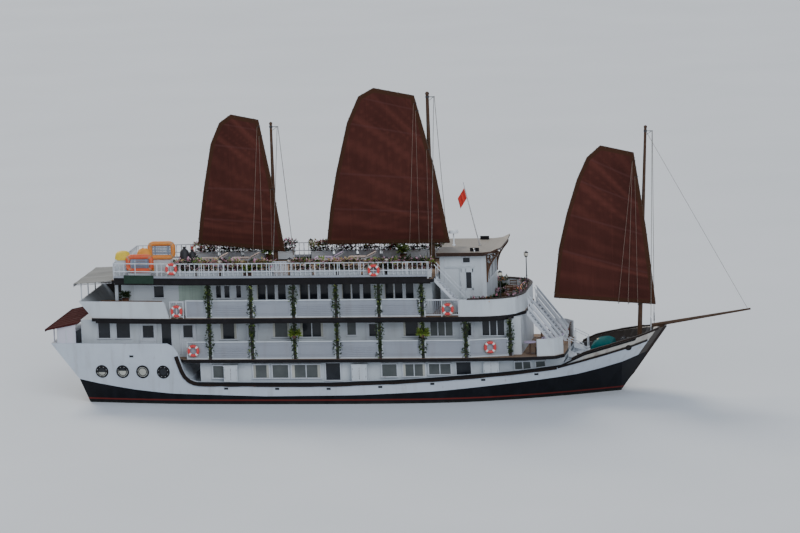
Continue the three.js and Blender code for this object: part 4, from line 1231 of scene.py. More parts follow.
SAILS = (
    Sail("fore", 17.72, [(12.47, 5.85), (18.65, 5.4), (18.18, 10.0), (17.54, 14.7), (15.55, 15.15),
                         (14.73, 14.45), (14.09, 13.1), (13.4, 11.0), (12.85, 8.8)],
         [(8, 0.2), (7, 0.46), (6, 0.66), (5, 0.82)]),
    Sail("main", 4.95, [(-1.53, 9.33), (6.07, 9.33), (5.25, 14.0), (4.15, 18.4), (1.67, 18.9),
                        (0.75, 18.4), (0.0, 16.8), (-0.79, 13.7), (-1.23, 11.5)],
         [(8, 0.2), (7, 0.42), (6, 0.72), (5, 0.9)]),
    Sail("aft", -4.85, [(-9.62, 9.45), (-4.24, 8.9), (-4.9, 13.2), (-5.59, 17.05), (-7.28, 17.4),
                        (-7.99, 16.9), (-8.58, 15.6), (-9.11, 12.9), (-9.42, 11.0)],
         [(8, 0.2), (7, 0.44), (6, 0.76), (5, 0.92)]),
)


class Light(Enum):
    """What fills an opening in a house side."""

    CLEAR = "clear glass"
    VEILED = "glass with a veil behind it"
    DOOR = "a panelled door"
    BLIND = "a drawn blind"


CLEAR, VEILED, DOOR, BLIND = Light


@dataclass(frozen=True)
class Opening:
    """One window, door or blind on a house side: its ends along the ship and up, and its kind."""

    aft: float
    fore: float
    foot: float
    head: float
    kind: Light = CLEAR
    panes: int = 1
    curtain: float = 0.0

    def size(self) -> Span:
        """Gives its width and its height."""
        return self.fore - self.aft, self.head - self.foot


@dataclass
class HouseLights:
    """The windows and doors of one deck house, and the pieces that gather those of one side."""

    house: str
    openings: list[Opening]
    frame: float = 0.07
    proud: float = 0.045
    trim: Shape = field(default_factory=Shape)
    glass: Shape = field(default_factory=Shape)
    cloth: Shape = field(default_factory=Shape)

    def window(self, place: Place, spot: Opening) -> None:
        """Adds a framed window.

        Args:
            place: the frame at its middle.
            spot: its opening.
        """
        w, h = (length / 2 for length in spot.size())
        f, p = self.frame, self.proud
        self.trim.block(place, (-w - f, w + f), (h, h + f), (-0.02, p))
        self.trim.block(place, (-w - f - 0.03, w + f + 0.03), (-h - f, -h), (-0.02, p + 0.03))
        self.trim.blocks(place, spans((-w - f, w), f), [(-h, h)], (-0.02, p))
        bars = [-w + 2 * w * i / spot.panes - 0.03 for i in range(1, spot.panes)]
        self.trim.blocks(place, spans(bars, 0.06), [(-h, h)], (-0.02, p - 0.01))
        self.glass.block(place, (-w, w), (-h, h), (-0.02, p - 0.033), int(spot.kind is VEILED))
        if spot.curtain:
            width = w * spot.curtain
            for start in (-w, w - width):
                self.folds(place.moved(start), width, h)

    def folds(self, place: Place, width: float, half: float) -> None:
        """Adds a curtain drawn to one side, in upright folds behind the pane.

        Args:
            place: the frame at its aft edge.
            width: how far it reaches.
            half: half of its height.
        """
        count = max(4, round(width / 0.05))
        deep = self.proud - 0.025
        front = [(width * i / count, deep + 0.008 * math.sin(i * 2.3)) for i in range(count + 1)]
        back = [(along, 0.010) for along, _ in reversed(front)]
        outline = [place.at(along, -half + 0.01, out) for along, out in front + back]
        self.cloth.prism(outline, place.up * (2 * half - 0.02))

    def door(self, place: Place, spot: Opening) -> None:
        """Adds a panelled door with a frame and an upper light.

        Args:
            place: the frame at its middle.
            spot: its opening.
        """
        w, h = (length / 2 for length in spot.size())
        f, p = self.frame, self.proud + 0.02
        self.trim.block(place, (-w - f, w + f), (h, h + f), (-0.02, p))
        self.trim.blocks(place, spans((-w - f, w), f), [(-h, h)], (-0.02, p))
        self.trim.block(place, (-w, w), (-h, h), (-0.02, 0.015))
        for low, high in ((-h + 0.12, -0.15 * h), (0.0, h - 0.12)):
            self.trim.blocks(place, spans((-w + 0.1, w - 0.15), 0.05), [(low, high)], (0.0, 0.035))
            self.trim.blocks(place, [(-w + 0.1, w - 0.1)], spans((low, high - 0.05), 0.05), (0.0, 0.035))
        self.glass.block(place, (-w + 0.16, w - 0.16), (0.06, h - 0.18), (0.0, 0.022))

    def blind(self, place: Place, spot: Opening) -> None:
        """Adds a drawn blind with a batten at its foot and its head.

        Args:
            place: the frame at its middle.
            spot: its opening.
        """
        w, h = (length / 2 for length in spot.size())
        self.cloth.block(place, (-w, w), (-h, h), (-0.02, 0.02), 1)
        self.cloth.blocks(place, [(-w - 0.02, w + 0.02)], spans((-h, h - 0.05), 0.05), (-0.02, 0.04), 1)

    def build(self) -> None:
        """Makes the fittings of both sides."""
        makers = {CLEAR: self.window, VEILED: self.window, DOOR: self.door, BLIND: self.blind}
        for side, name in SIDES.items():
            self.trim, self.glass, self.cloth = Shape(), Shape(), Shape()
            for spot in self.openings:
                middle, height = (spot.aft + spot.fore) / 2, (spot.foot + spot.head) / 2
                makers[spot.kind](Probe.panel(self.house, middle, height, spot.size(), side), spot)
            self.trim.build(f"{self.house}_window_frames_{name}", [WHITE], bevel=0.008)
            self.glass.build(f"{self.house}_panes_{name}", [GLASS, VEILED_GLASS])
            if self.cloth.faces:
                self.cloth.build(f"{self.house}_curtains_{name}", [CURTAIN, MINT_CLOTH])


HOUSE_LIGHTS = (
    HouseLights("house_1", [
        Opening(-8.33, -7.6, 1.6, 2.35, VEILED), Opening(-5.8, -4.84, 1.6, 2.4, VEILED, 1, 0.3),
        Opening(-4.6, -3.63, 1.6, 2.4, VEILED), Opening(-3.4, -1.63, 1.6, 2.4, VEILED, 2, 0.2),
        Opening(-1.28, -0.4, 1.45, 2.5), Opening(2.2, 3.09, 1.65, 2.4, VEILED),
        Opening(3.5, 4.83, 1.65, 2.4, VEILED, 2, 0.2), Opening(5.08, 6.4, 1.75, 2.4, VEILED, 2),
        Opening(6.75, 7.63, 1.7, 2.5), Opening(10.3, 11.24, 1.95, 2.45, VEILED, 2),
        Opening(11.55, 12.1, 1.98, 2.45, VEILED)], proud=0.11),
    HouseLights("house_2", [
        Opening(-15.6, -14.86, 4.0, 4.95), Opening(-14.45, -13.6, 4.0, 4.95),
        Opening(-12.95, -11.95, 2.95, 4.95, DOOR), Opening(-11.6, -11.0, 2.95, 4.95),
        Opening(-10.4, -9.5, 2.95, 4.95, DOOR), Opening(-7.9, -6.9, 3.9, 4.95, curtain=0.3),
        Opening(-6.3, -5.6, 2.95, 4.95, DOOR), Opening(-4.63, -3.6, 4.0, 4.95, VEILED, 1, 0.25),
        Opening(-2.92, -1.5, 4.0, 4.95, CLEAR, 2, 0.2), Opening(0.0, 0.53, 4.1, 4.9, VEILED),
        Opening(1.2, 2.0, 2.95, 4.95, DOOR), Opening(3.47, 4.5, 4.0, 4.95, curtain=0.25),
        Opening(5.14, 6.5, 4.0, 4.95, VEILED, 3), Opening(7.0, 7.8, 2.95, 4.95, DOOR),
        Opening(8.34, 9.68, 4.0, 4.95, CLEAR, 3)]),
    HouseLights("house_3", [
        Opening(-12.0, -11.4, 6.5, 7.2), Opening(-10.45, -8.45, 6.3, 7.3, BLIND),
        Opening(-8.1, -7.8, 6.45, 7.2), Opening(-7.58, -7.26, 6.45, 7.2), Opening(-6.84, -6.55, 6.45, 7.2)]
        + [Opening(start + aft, start + fore, foot, 7.3, curtain=drawn)
           for start in (-5.76, -3.12, -0.48, 2.16)
           for aft, fore, foot, drawn in ((0.22, 0.78, 5.5, 0.15), (0.84, 1.32, 5.5, 0), (1.52, 2.0, 5.9, 0))]),
)


@dataclass
class Standing:
    """The wire shrouds of the masts, and the irons that hold their heads ahead of the sails."""

    radius: float = 0.018
    reach: float = 0.42
    spread: float = 0.12
    heads: tuple[tuple[str, float], ...] = (("main", 18.3), ("aft", 16.6), ("fore", 16.0))

    def foot(self, mast: str, side: int) -> Vector:
        """Gives the place on the ship that a mast's shroud comes down to on one side."""
        if mast == "fore":
            return HullTrim().rim(18.42, side) + Vector((0, -side * 0.04, 0.09))
        x = 5.4 if mast == "main" else -4.4
        return Vector((x, Probe.deck_edge(x, side, 0.42), SUN_DECK))

    def iron(self, mast: str, height: float) -> Vector:
        """Makes the iron at a mast's head.

        Args:
            mast: the mast's name.
            height: the height of the iron.

        Returns:
            The middle of the iron's crossbar.
        """
        fore, aft = (Probe.hit(f"{mast}_mast", Vector((x, 0.0, height)), ALONG * -math.copysign(1, x))
                     for x in (25.0, -25.0))
        middle, wide = (fore + aft) / 2, (fore.x - aft.x) / 2
        head = middle + ALONG * self.reach
        across = ABEAM * (self.spread + 0.04)
        shape = Shape()
        band = [(wide + 0.012, 0.0), (wide + 0.022, 0.03), (wide + 0.022, 0.09), (wide + 0.012, 0.12)]
        shape.lathe(Place(middle - UPWARD * 0.06), band, 0, 14)
        shape.tube([middle, head], 0.022, 8)
        shape.tube([middle + UPWARD * -0.22 + ALONG * wide, head - ALONG * 0.03], 0.014, 6)
        shape.tube([head - across, head + across], 0.022, 8)
        shape.build(f"{mast}_masthead_iron", [IRON], smooth=60)
        return head

    def build(self) -> None:
        """Makes the irons and the shrouds of both sides, each with its rigging screw and its fittings."""
        for mast, height in self.heads:
            head = self.iron(mast, height)
            for side, name in SIDES.items():
                top, base = head + ABEAM * side * self.spread, self.foot(mast, side)
                heading = (top - base).normalized()
                shape = Shape()
                shape.tube([base + heading * 0.9, top], self.radius, 6, 0)
                shape.tube([base, base + heading * 0.2], 0.022, 6, 1)
                screw = [base + heading * t for t in (0.2, 0.26, 0.8, 0.86)]
                shape.tube(screw, [0.02, 0.04, 0.04, 0.02], 8, 1)
                shape.tube([base + heading * 0.86, base + heading * 0.95], 0.024, 6, 1)
                shape.build(f"{mast}_shroud_{name}", [WIRE, STEEL])


@dataclass
class Studio:
    """The plain floor, the soft lights and the camera. Its sizes are in model metres and degrees."""

    centre: Point = (1.45, 0.0, 3.9)
    floor_reach: float = 900.0
    distance: float = 137.0
    lens: float = 200.0
    azimuth: float = 9.0
    elevation: float = 9.0
    roll: float = -2.0

    def floor(self) -> None:
        """Makes the pale floor at the waterline."""
        mesh = bpy.data.meshes.new("floor")
        reach = self.floor_reach
        mesh.from_pydata([(-reach, -reach, 0), (reach, -reach, 0), (reach, reach, 0), (-reach, reach, 0)], [],
                         [(0, 1, 2, 3)])
        board = Board("pale_floor")
        soft = board.patches(7.0, (0.3, 0.7), detail=2.0)
        board.set(Base_Color=board.mix(soft, (0.60, 0.63, 0.66), (0.63, 0.66, 0.69)), Roughness=0.75)
        mesh.materials.append(board.material)
        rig.stage(add_object("floor", mesh))

    def sun(self, name: str, strength: float, spread: float, place: Point, colour: Colour) -> None:
        """Adds a distant lamp with soft shadows.

        Args:
            name: the lamp's name.
            strength: its power.
            spread: the angle in degrees that it fills in the sky.
            place: a point that it shines from, towards the ship.
            colour: its colour.
        """
        data = bpy.data.lights.new(name, "SUN")
        data.energy = strength
        data.angle = math.radians(spread)
        data.color = colour
        lamp = add_object(name, data)
        lamp.location = place
        lamp.rotation_euler = (Vector(self.centre) - Vector(place)).to_track_quat("-Z", "Y").to_euler()

    def sky(self) -> None:
        """Sets an even pale sky."""
        world = bpy.data.worlds.new("studio")
        world.use_nodes = True
        background = world.node_tree.nodes["Background"]
        background.inputs["Color"].default_value = (0.74, 0.82, 0.96, 1.0)
        background.inputs["Strength"].default_value = 0.6
        bpy.context.scene.world = world

    def camera(self) -> None:
        """Places the camera at the photograph's viewing angle."""
        azimuth, elevation = math.radians(self.azimuth), math.radians(self.elevation)
        back = Vector((math.sin(azimuth) * math.cos(elevation), -math.cos(azimuth) * math.cos(elevation),
                       math.sin(elevation)))
        data = bpy.data.cameras.new("camera")
        data.lens = self.lens
        data.clip_end = 3000.0
        camera = add_object("camera", data)
        camera.location = Vector(self.centre) + back * self.distance
        roll = Matrix.Rotation(math.radians(self.roll), 3, "Z")
        camera.rotation_euler = ((-back).to_track_quat("-Z", "Y").to_matrix() @ roll).to_euler()
        bpy.context.scene.camera = camera

    def build(self) -> None:
        """Makes the studio."""
        self.floor()
        self.sky()
        self.sun("front", 1.5, 40.0, (30.0, -60.0, 45.0), (0.93, 0.96, 1.0))
        self.sun("back", 2.2, 25.0, (-35.0, 45.0, 50.0), (1.0, 0.93, 0.82))
        self.camera()


@dataclass
class HullTrim:
    """The hull's portholes, wales, cap rail, quarter moulding, stem iron, hawse pipes and scuppers."""

    top_edge: tuple[Span, ...] = ((-9.3, 1.42), (-6.3, 1.40), (-1.0, 1.38), (3.4, 1.52), (5.9, 1.67),
                                  (10.2, 1.92), (13.3, 2.22), (13.9, 2.70), (15.4, 3.10), (17.5, 3.56),
                                  (19.3, 4.0))
    quarter: tuple[Span, ...] = ((-10.42, 3.05), (-10.32, 2.72), (-10.22, 2.42), (-10.10, 2.08),
                                 (-9.95, 1.80), (-9.72, 1.58), (-9.45, 1.46), (-9.2, 1.42))
    portholes: tuple[Span, ...] = ((-15.35, 0.45), (-14.02, 0.55), (-12.74, 0.98), (-11.42, 0.0))
    scuppers: tuple[float, ...] = (-13.4, -7.5, -4.3, -1.1, 2.1, 5.3, 8.4, 11.6)
    wale_slope: float = 0.232

    def edge(self, x: float) -> float:
        """Gives the height of the hull's top edge."""
        for (x0, z0), (x1, z1) in zip(self.top_edge, self.top_edge[1:]):
            if x <= x1:
                return z0 + (z1 - z0) * (x - x0) / (x1 - x0)
        return self.top_edge[-1][1]

    def rim(self, x: float, side: int) -> Vector:
        """Gives the highest outer point of the hull's side.

        Args:
            x: the place along the ship.
            side: the ship's side.

        Returns:
            The point.

        Raises:
            ValueError: if the hull has no side there.
        """
        for step in range(40):
            try:
                return Probe.side("hull_topsides", x, self.edge(x) + 0.04 - 0.02 * step, side)
            except ValueError:
                continue
        raise ValueError(f"no top edge at {x}")

    def ribbon(self, shape: Shape, line: list[tuple[Span, Span]], band: Span, proud: float, side: int) -> None:
        """Adds a flat moulding that follows the hull's side.

        Args:
            shape: the piece that gathers it.
            line: the points that it follows, along the ship and up, each with the direction across it.
            band: its inner and outer edges across the line.
            proud: how far it stands out.
            side: the ship's side.
        """
        step, sink = Vector((0, side * proud, 0)), Vector((0, -side * 0.02, 0))
        rings = []
        for (x, z), (u, w) in line:
            first, second = (Probe.side("hull_topsides", x + u * far, z + w * far, side) for far in band)
            rings.append([first + sink, second + sink, second + step, first + step])
        shape.loft(rings)

    def mouldings(self, side: int) -> None:
        """Makes the dark mouldings of one side."""
        shape = Shape()
        down = (0.0, -1.0)
        even = [-9.25 + i * 0.47 for i in range(48)]
        self.ribbon(shape, [((x, self.rim(x, side).z), down) for x in even], (0.13, 0.27), 0.07, side)
        line = []
        last = len(self.quarter) - 1
        for i, point in enumerate(self.quarter):
            a, b = Vector(self.quarter[max(i - 1, 0)]), Vector(self.quarter[min(i + 1, last)])
            heading = (b - a).normalized()
            line.append((point, (heading.y, -heading.x)))
        self.ribbon(shape, line, (0.03, 0.27), 0.08, side)
        wale = [((12.9 + i * 0.44, 2.02 + i * 0.44 * self.wale_slope), down) for i in range(13)]
        self.ribbon(shape, wale, (-0.06, 0.08), 0.06, side)
        shape.build(f"hull_mouldings_{SIDES[side]}", [TRIM], smooth=60)

    def cap_rail(self, side: int) -> None:
        """Makes the cap rail on the bow bulwark of one side."""
        rings = []
        for x in spaced(13.75, 18.85, 30):
            skin = self.rim(x, side)
            inner = side * max(side * skin.y - 0.16, 0.02)
            outer, foot, head = skin.y + side * 0.07, skin.z - 0.01, skin.z + 0.10
            rings.append([Vector((x, inner, foot)), Vector((x, inner, head)), Vector((x, outer, head)),
                          Vector((x, outer, foot))])
        shape = Shape()
        shape.loft(rings)
        shape.build(f"bow_cap_rail_{SIDES[side]}", [TRIM], smooth=60)

    def openings(self, side: int) -> None:
        """Makes the portholes, hawse pipe and scuppers of one side."""
        rims, glass = Shape(), Shape()
        for x, drawn in self.portholes:
            place = Probe.panel("hull_topsides", x, 2.02, (0.4, 0.4), side)
            rims.hoop(place.moved(0, 0, 0.01), 0.36, 0.055, 0, 28, 8)
            rims.hoop(place.moved(0, 0, 0.02), 0.25, 0.022, 0, 24, 6)
            for i in range(8):
                angle = math.pi * (i + 0.5) / 4
                spot = place.moved(0.31 * math.cos(angle), 0.31 * math.sin(angle), 0.035)
                rims.block(spot, (-0.02, 0.02), (-0.02, 0.02), (-0.03, 0.025), 1)
            glass.disc(place, 0.34, 24, (-0.02, 0.015))
            if drawn:
                arc = [math.pi * turn for turn in spaced(1.5 - drawn, 1.5 + drawn, 17)]
                glass.prism([place.at(0.33 * math.cos(t), 0.33 * math.sin(t), 0.010) for t in arc],
                            place.out * 0.012, 1)
        hawse = Probe.panel("hull_topsides", 17.1, 2.95, (0.2, 0.2), side)
        rims.hoop(hawse, 0.17, 0.05, 0, 20, 8)
        # painted shade: a dark glass disc closes the hawse pipe's mouth where the inside is in shade
        glass.disc(hawse, 0.15, 18, (-0.02, 0.01))
        for x in self.scuppers:
            place = Probe.panel("hull_topsides", x, self.edge(x) - 0.42 if x > -9 else 3.0, (0.2, 0.08), side)
            rims.blocks(place, [(-0.13, 0.13)], spans((0.03, -0.055), 0.025), (-0.01, 0.03))
            # painted shade: a dark glass plate closes the scupper's mouth where the inside is in shade
            glass.block(place, (-0.12, 0.12), (-0.03, 0.03), (-0.02, 0.006))
        rims.build(f"hull_port_rims_{SIDES[side]}", [EDGE, STEEL])
        glass.build(f"hull_port_glass_{SIDES[side]}", [GLASS, CURTAIN])

    @staticmethod
    def breadth(nose: Vector, back: float) -> float:
        """Gives the half-breadth of the stem iron a distance behind the nose."""
        for node in ("hull_bottom", "hull_topsides"):
            try:
                return abs(Probe.side(node, nose.x - back, nose.z, 1).y) + 0.02
            except ValueError:
                continue
        return 0.16

    def stem(self) -> None:
        """Makes the stem iron, from the head of the stem down to the waterline."""
        rings = []
        for z in spaced(0.02, 3.92, 20):
            start = Vector((25.0, 0.0, z))
            try:
                nose = Probe.hit("hull_topsides" if z > 3.2 else "hull_bottom", start, -ALONG)
            except ValueError:
                nose = Probe.hit("hull_topsides", start, -ALONG)
            wide, front = self.breadth(nose, 0.14), self.breadth(nose, 0.015)
            half = [(-0.14, wide), (0.0, front), (0.05, front * 0.6)]
            rings.append([nose + Vector((x, -y, 0)) for x, y in half]
                         + [nose + Vector((x, y, 0)) for x, y in reversed(half)])
        shape = Shape()
        shape.loft(rings)
        shape.build("stem_iron", [TRIM], smooth=60)

    def build(self) -> None:
        """Makes the trim of both sides."""
        for side in SIDES:
            self.mouldings(side)
            self.cap_rail(side)
            self.openings(side)
        self.stem()


@dataclass
class DeckEdges:
    """The dark fascia boards along the deck edges, which in part stand in as painted shade under the overhang, and the
    pale coaming around the sun deck.
    """

    boards: tuple[tuple[str, Span, Span], ...] = (("deck_3", (5.04, 5.15), (-15.6, 10.3)),
                                                  ("sun_deck", (7.41, 7.50), (-14.3, 5.4)),
                                                  ("sun_deck", (7.70, 7.84), (-14.35, 5.2)))

    def build(self) -> None:
        """Makes the boards of both sides."""
        for side, name in SIDES.items():
            shape, coaming = Shape(), Shape()
            for node, span, ends in self.boards:
                self.board(shape, node, span, ends, side)
            # the dark boards are in part painted shade under the deck overhang
            shape.build(f"fascia_boards_{name}", [EDGE], smooth=60)
            self.board(coaming, "sun_deck", (7.82, 7.97), (-14.35, 5.2), side, 0.02)
            coaming.build(f"sun_deck_coaming_{name}", [GRILLE_PAINTED_SHADE], smooth=60)

    @staticmethod
    def board(shape: Shape, node: str, span: Span, ends: Span, side: int, inset: float = 0.0) -> None:
        """Adds one board that follows a deck's edge.

        Args:
            shape: the piece that gathers it.
            node: the deck.
            span: the board's foot and head.
            ends: its aft and fore ends.
            side: the ship's side.
            inset: how far inside the edge its outer face is.
        """
        level = (DECK_3 if node == "deck_3" else SUN_DECK) - 0.1
        rings = []
        for x in spaced(*ends, 37):
            y = Probe.side(node, x, level, side).y - side * inset
            inner = y - side * 0.045
            rings.append([Vector((x, y, span[0])), Vector((x, y, span[1])), Vector((x, inner, span[1])),
                          Vector((x, inner, span[0]))])
        shape.loft(rings)


@dataclass
class Galleries:
    """The panel frames, grilles and creepers of the two galleries.

    Each deck has its gallery, its floor, its ceiling, the number of its bays and those that have a grille.
    """

    pillars: float = -8.4
    spacing: float = 2.64
    decks: tuple[tuple[str, float, float, int, tuple[int, ...]], ...] = (
        ("gallery_2", DECK_2, 5.12, 7, (0, 3)), ("gallery_3", DECK_3, 7.46, 5, (0, 2, 3, 4)))

    @staticmethod
    def panel(shape: Shape, place: Place, half: float, slatted: bool) -> None:
        """Adds the frame of one balcony panel and its grille.

        Args:
            shape: the piece that gathers it.
            place: the frame at its middle.
            half: half of its width.
            slatted: whether a grille covers its lower part.
        """
        flush = (-0.005, 0.035)
        shape.block(place, (-half, half), (0.50, 0.575), (-0.09, 0.055))
        shape.block(place, (-half, half), (-0.545, -0.46), flush)
        shape.blocks(place, spans((-half, half - 0.07), 0.07), [(-0.46, 0.50)], flush)
        if slatted:
            lows = [-0.40 + i * 0.115 for i in range(6)]
            shape.blocks(place, [(-half + 0.16, half - 0.16)], spans(lows, 0.06), (-0.005, 0.03), 1)
            bars = [-half + 2 * half * i / 6 - 0.02 for i in range(1, 6)]
            shape.blocks(place, spans(bars, 0.04), [(-0.42, 0.27)], (-0.005, 0.02), 1)
        else:
            shape.blocks(place, [(-half + 0.22, half - 0.22)], spans((-0.30, 0.32), 0.03), (-0.005, 0.016), 1)
            shape.blocks(place, spans((-half + 0.22, half - 0.25), 0.03), [(-0.27, 0.32)], (-0.005, 0.016), 1)

    def build(self) -> None:
        """Makes the frames and creepers of both decks and sides."""
        dice = random.Random(SEED)
        for (node, floor, ceiling, bays, slatted), side in product(self.decks, SIDES):
            name = f"{node}_{SIDES[side]}"
            frames, creeper = Shape(), Shape()
            ends = [self.pillars - 1.5] + [self.pillars + self.spacing * i for i in range(bays + 1)]
            for i, (start, end) in enumerate(zip(ends, ends[1:])):
                aft, fore = start + (0.1 if i else 0.02), end - 0.1
                place = Probe.panel(name, (aft + fore) / 2, floor + 0.55, ((fore - aft) * 0.7, 0.6), side)
                self.panel(frames, place, (fore - aft) / 2, i - 1 in slatted)
            frames.build(f"{name}_panel_frames", [HOUSE_WHITE, GRILLE_PAINTED_SHADE], bevel=0.006)
            for x in ends[1:]:
                foot = Vector((x, Probe.side(name, x, floor + 1.5, side).y, floor))
                self.creeper(creeper, dice, foot, ceiling - floor, side)
            creeper.build(f"{name}_creepers", [LEAVES, BRIGHT_LEAVES])

    @staticmethod
    def creeper(shape: Shape, dice: random.Random, foot: Vector, height: float, side: int) -> None:
        """Adds a creeper that climbs one pillar.

        Args:
            shape: the piece that gathers it.
            dice: the seeded source of its variation.
            foot: the outer middle of the pillar's foot.
            height: the pillar's height.
            side: the ship's side.
        """
        thick = 0.6 + 0.4 * dice.random()
        for _ in range(int(360 * thick)):
            up = height * (0.05 + 0.93 * dice.random() ** 0.8)
            around = dice.uniform(-0.20, 0.20) * (1.0 + 0.4 * math.sin(up * 3.0 + foot.x))
            spot = foot + Vector((around, side * dice.uniform(-0.06, 0.05), up))
            heading = Vector((dice.uniform(-0.9, 0.9), side * dice.uniform(0.1, 0.9), dice.uniform(-0.9, 0.3)))
            shape.leaf(spot, heading.normalized(), dice.uniform(0.09, 0.17), int(dice.random() < 0.10))


@dataclass
class Bush:
    """A leafy bush of arching leaves, in a pot or hung on a pillar."""

    leaves: int = 150
    reach: float = 0.4
    leaf: float = 0.2
    flowering: float = 0.2

    def fill(self, shape: Shape, dice: random.Random, heart: Vector, finish: int = 0, flowers: int = -1,
             limit: float = 99.0) -> None:
        """Adds the leaves.

        Args:
            shape: the piece that gathers them.
            dice: the seeded source of their variation.
            heart: the middle of the bush.
            finish: the number of the leaf finish.
            flowers: the number of the flower finish, or -1 for none.
            limit: how far from the centreline a leaf may reach.
        """
        for _ in range(self.leaves):
            turn = dice.uniform(0, 2 * math.pi)
            lift = dice.uniform(-0.35, 1.0)
            arm = Vector((math.cos(turn), math.sin(turn), lift)).normalized()
            start = heart + arm * self.reach * dice.uniform(0.05, 0.75)
            heading = (arm + Vector((0, 0, dice.uniform(-0.5, 0.3)))).normalized()
            kind = flowers if flowers >= 0 and dice.random() < self.flowering else finish
            length = self.leaf * dice.uniform(0.6, 1.2)
            if abs((start + heading * length).y) < limit:
                shape.leaf(start, heading, length, kind)

    def potted(self, name: str, dice: random.Random, place: Place, finishes: list[Finish],
               flowers: bool = False) -> None:
        """Makes a turned pot with a bush in it.

        Args:
            name: the start of its pieces' names.
            dice: the seeded source of its variation.
            place: the frame that the pot stands on.
            finishes: the leaf finish, then the flower finish.
            flowers: whether it flowers.
        """
        pot, green = Shape(), Shape()
        pot.lathe(place, [(0.13, 0.0), (0.17, 0.05), (0.21, 0.22), (0.22, 0.36), (0.24, 0.40), (0.20, 0.41),
                          (0.18, 0.36)], 0, 14)
        pot.build(f"{name}_pot", [POT], smooth=60)
        heart = place.at(0, 0.42 + self.reach * 0.55)
        self.fill(green, dice, heart, 0, 1 if flowers else -1)
        for turn in spaced(0.0, 5.2, 5):
            tip = heart + Vector((math.cos(turn) * 0.1, math.sin(turn) * 0.1, 0.1))
            green.tube([place.at(0, 0.34), tip], 0.012, 4)
        green.build(f"{name}_leaves", finishes)


def cushion(name: str, place: Place, size: Point, finish: Finish, channels: int = 0) -> None:
    """Makes a crowned cushion that lies on its frame's along and out directions.

    Args:
        name: the piece's name.
        place: the frame at the middle of its underside, with up as its thickness.
        size: its length, its width and its thickness.
        finish: its cloth.
        channels: how many sewn channels cross it.
    """
    length, width, thick = size
    steps_u, steps_v = 24, 12
    top, low = [], []
    for i in range(steps_u + 1):
        u = 2 * i / steps_u - 1
        sewn = 1 - 0.22 * abs(math.cos(math.pi * (u + 1) / 2 * channels)) ** 8 if channels else 1
        upper, under = [], []
        for j in range(steps_v + 1):
            v = 2 * j / steps_v - 1
            crown = ((1 - abs(u) ** 6) * (1 - abs(v) ** 6)) ** 0.5
            along = u * length / 2 * (1 - 0.03 * (1 - abs(v) ** 3))
            out = v * width / 2 * (1 - 0.035 * (1 - abs(u) ** 3))
            upper.append(place.at(along, thick * (0.4 + 0.6 * crown * sewn), out))
            under.append(place.at(along * 0.985, thick * 0.4 * (1 - min(1.0, crown * 1.6)), out * 0.97))
        top.append(upper)
        low.append(under)
    shape = Shape()
    shape.grid(top, turned=False)
    shape.grid(low)
    count, wide = len(shape.points) // 2, steps_v + 1
    rim = [*range(steps_v), *range(steps_v, count - 1, wide), *range(count - 1, count - wide, -1),
           *range(count - wide, 0, -wide)]
    for c, d in zip(rim, rim[1:] + rim[:1]):
        shape.face([c, count + c, count + d, d])
    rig.padded(shape.build(name, [finish], smooth=80), 0.7)


@dataclass
class Lounger:
    """A slatted sun lounger with a raised back and sewn cushions."""

    length: float = 1.9
    width: float = 0.62
    seat: float = 0.30
    back: float = 27.0

    def build(self, name: str, place: Place, cloth: Finish) -> None:
        """Makes the lounger.

        Args:
            name: the start of its pieces' names.
            place: the frame under its middle, with its head end along.
            cloth: the cushions' cloth.
        """
        half, wide, seat = self.length / 2, self.width / 2, self.seat
        flat = self.length * 0.62
        reach = self.length - flat
        tilt = math.radians(self.back)
        hinge = place.moved(-half + flat, seat)
        back = Place(hinge.origin, place.along * math.cos(tilt) + place.up * math.sin(tilt),
                     place.up * math.cos(tilt) - place.along * math.sin(tilt), place.out)
        shape = Shape()
        for out in spans((-wide, wide - 0.045), 0.045):
            shape.block(place, (-half, -half + flat), (seat - 0.07, seat), out)
            feet = spans((-half + 0.08, -half + flat - 0.1, half - 0.35), 0.05)
            shape.blocks(place, feet, [(0.0, seat - 0.06)], out)
            shape.block(back, (0.0, reach), (-0.05, 0.0), out)
        slats = spans([-half + 0.03 + i * flat / 9 for i in range(9)], 0.09)
        shape.blocks(place, slats, [(seat, seat + 0.018)], (-wide, wide))
        slats = spans([0.02 + i * reach / 6 for i in range(6)], 0.08)
        shape.blocks(back, slats, [(0.0, 0.018)], (-wide, wide))
        for out in spans((-wide + 0.06, wide - 0.1), 0.04):
            shape.block(hinge, (reach * 0.45, reach * 0.45 + 0.04), (-0.24, 0.20), out)
        shape.build(f"{name}_frame", [PLASTIC_WHITE], bevel=0.005)
        cushion(f"{name}_seat_cushion", place.moved(-half + flat / 2, seat + 0.02),
                (flat - 0.02, self.width - 0.06, 0.09), cloth, 4)
        cushion(f"{name}_back_cushion", back.moved(reach / 2 + 0.02, 0.02),
                (reach - 0.05, self.width - 0.06, 0.09), cloth, 3)


@dataclass
class Lifebuoy:
    """A lifebuoy with four bands and a grab line."""

    radius: float = 0.29
    tube: float = 0.085

    def build(self, name: str, place: Place) -> None:
        """Makes the lifebuoy.

        Args:
            name: the piece's name.
            place: the frame at its middle, against what carries it.
        """
        shape = Shape()
        spot = place.moved(0, 0, self.tube * 0.8)
        for start in range(45, 405, 90):
            shape.hoop(spot, self.radius, self.tube, 0, 40, 12, (start + 11, start + 79))
            shape.hoop(spot, self.radius, self.tube + 0.006, 1, 72, 12, (start - 11, start + 11))
            path = []
            for i in range(9):
                angle = math.radians(start + i * 90 / 8)
                reach = self.radius + self.tube + 0.02 + 0.035 * math.sin(math.pi * i / 8)
                path.append(spot.at(reach * math.cos(angle), reach * math.sin(angle)))
            shape.tube(path, 0.010, 6, 2)
        strap = (self.radius - 0.06, self.radius + 0.14)
        shape.block(spot, (-0.03, 0.03), strap, (-self.tube - 0.02, -0.06), 3)
        shape.build(name, [BUOY_RED, BUOY_WHITE, ROPE, STEEL], smooth=60)


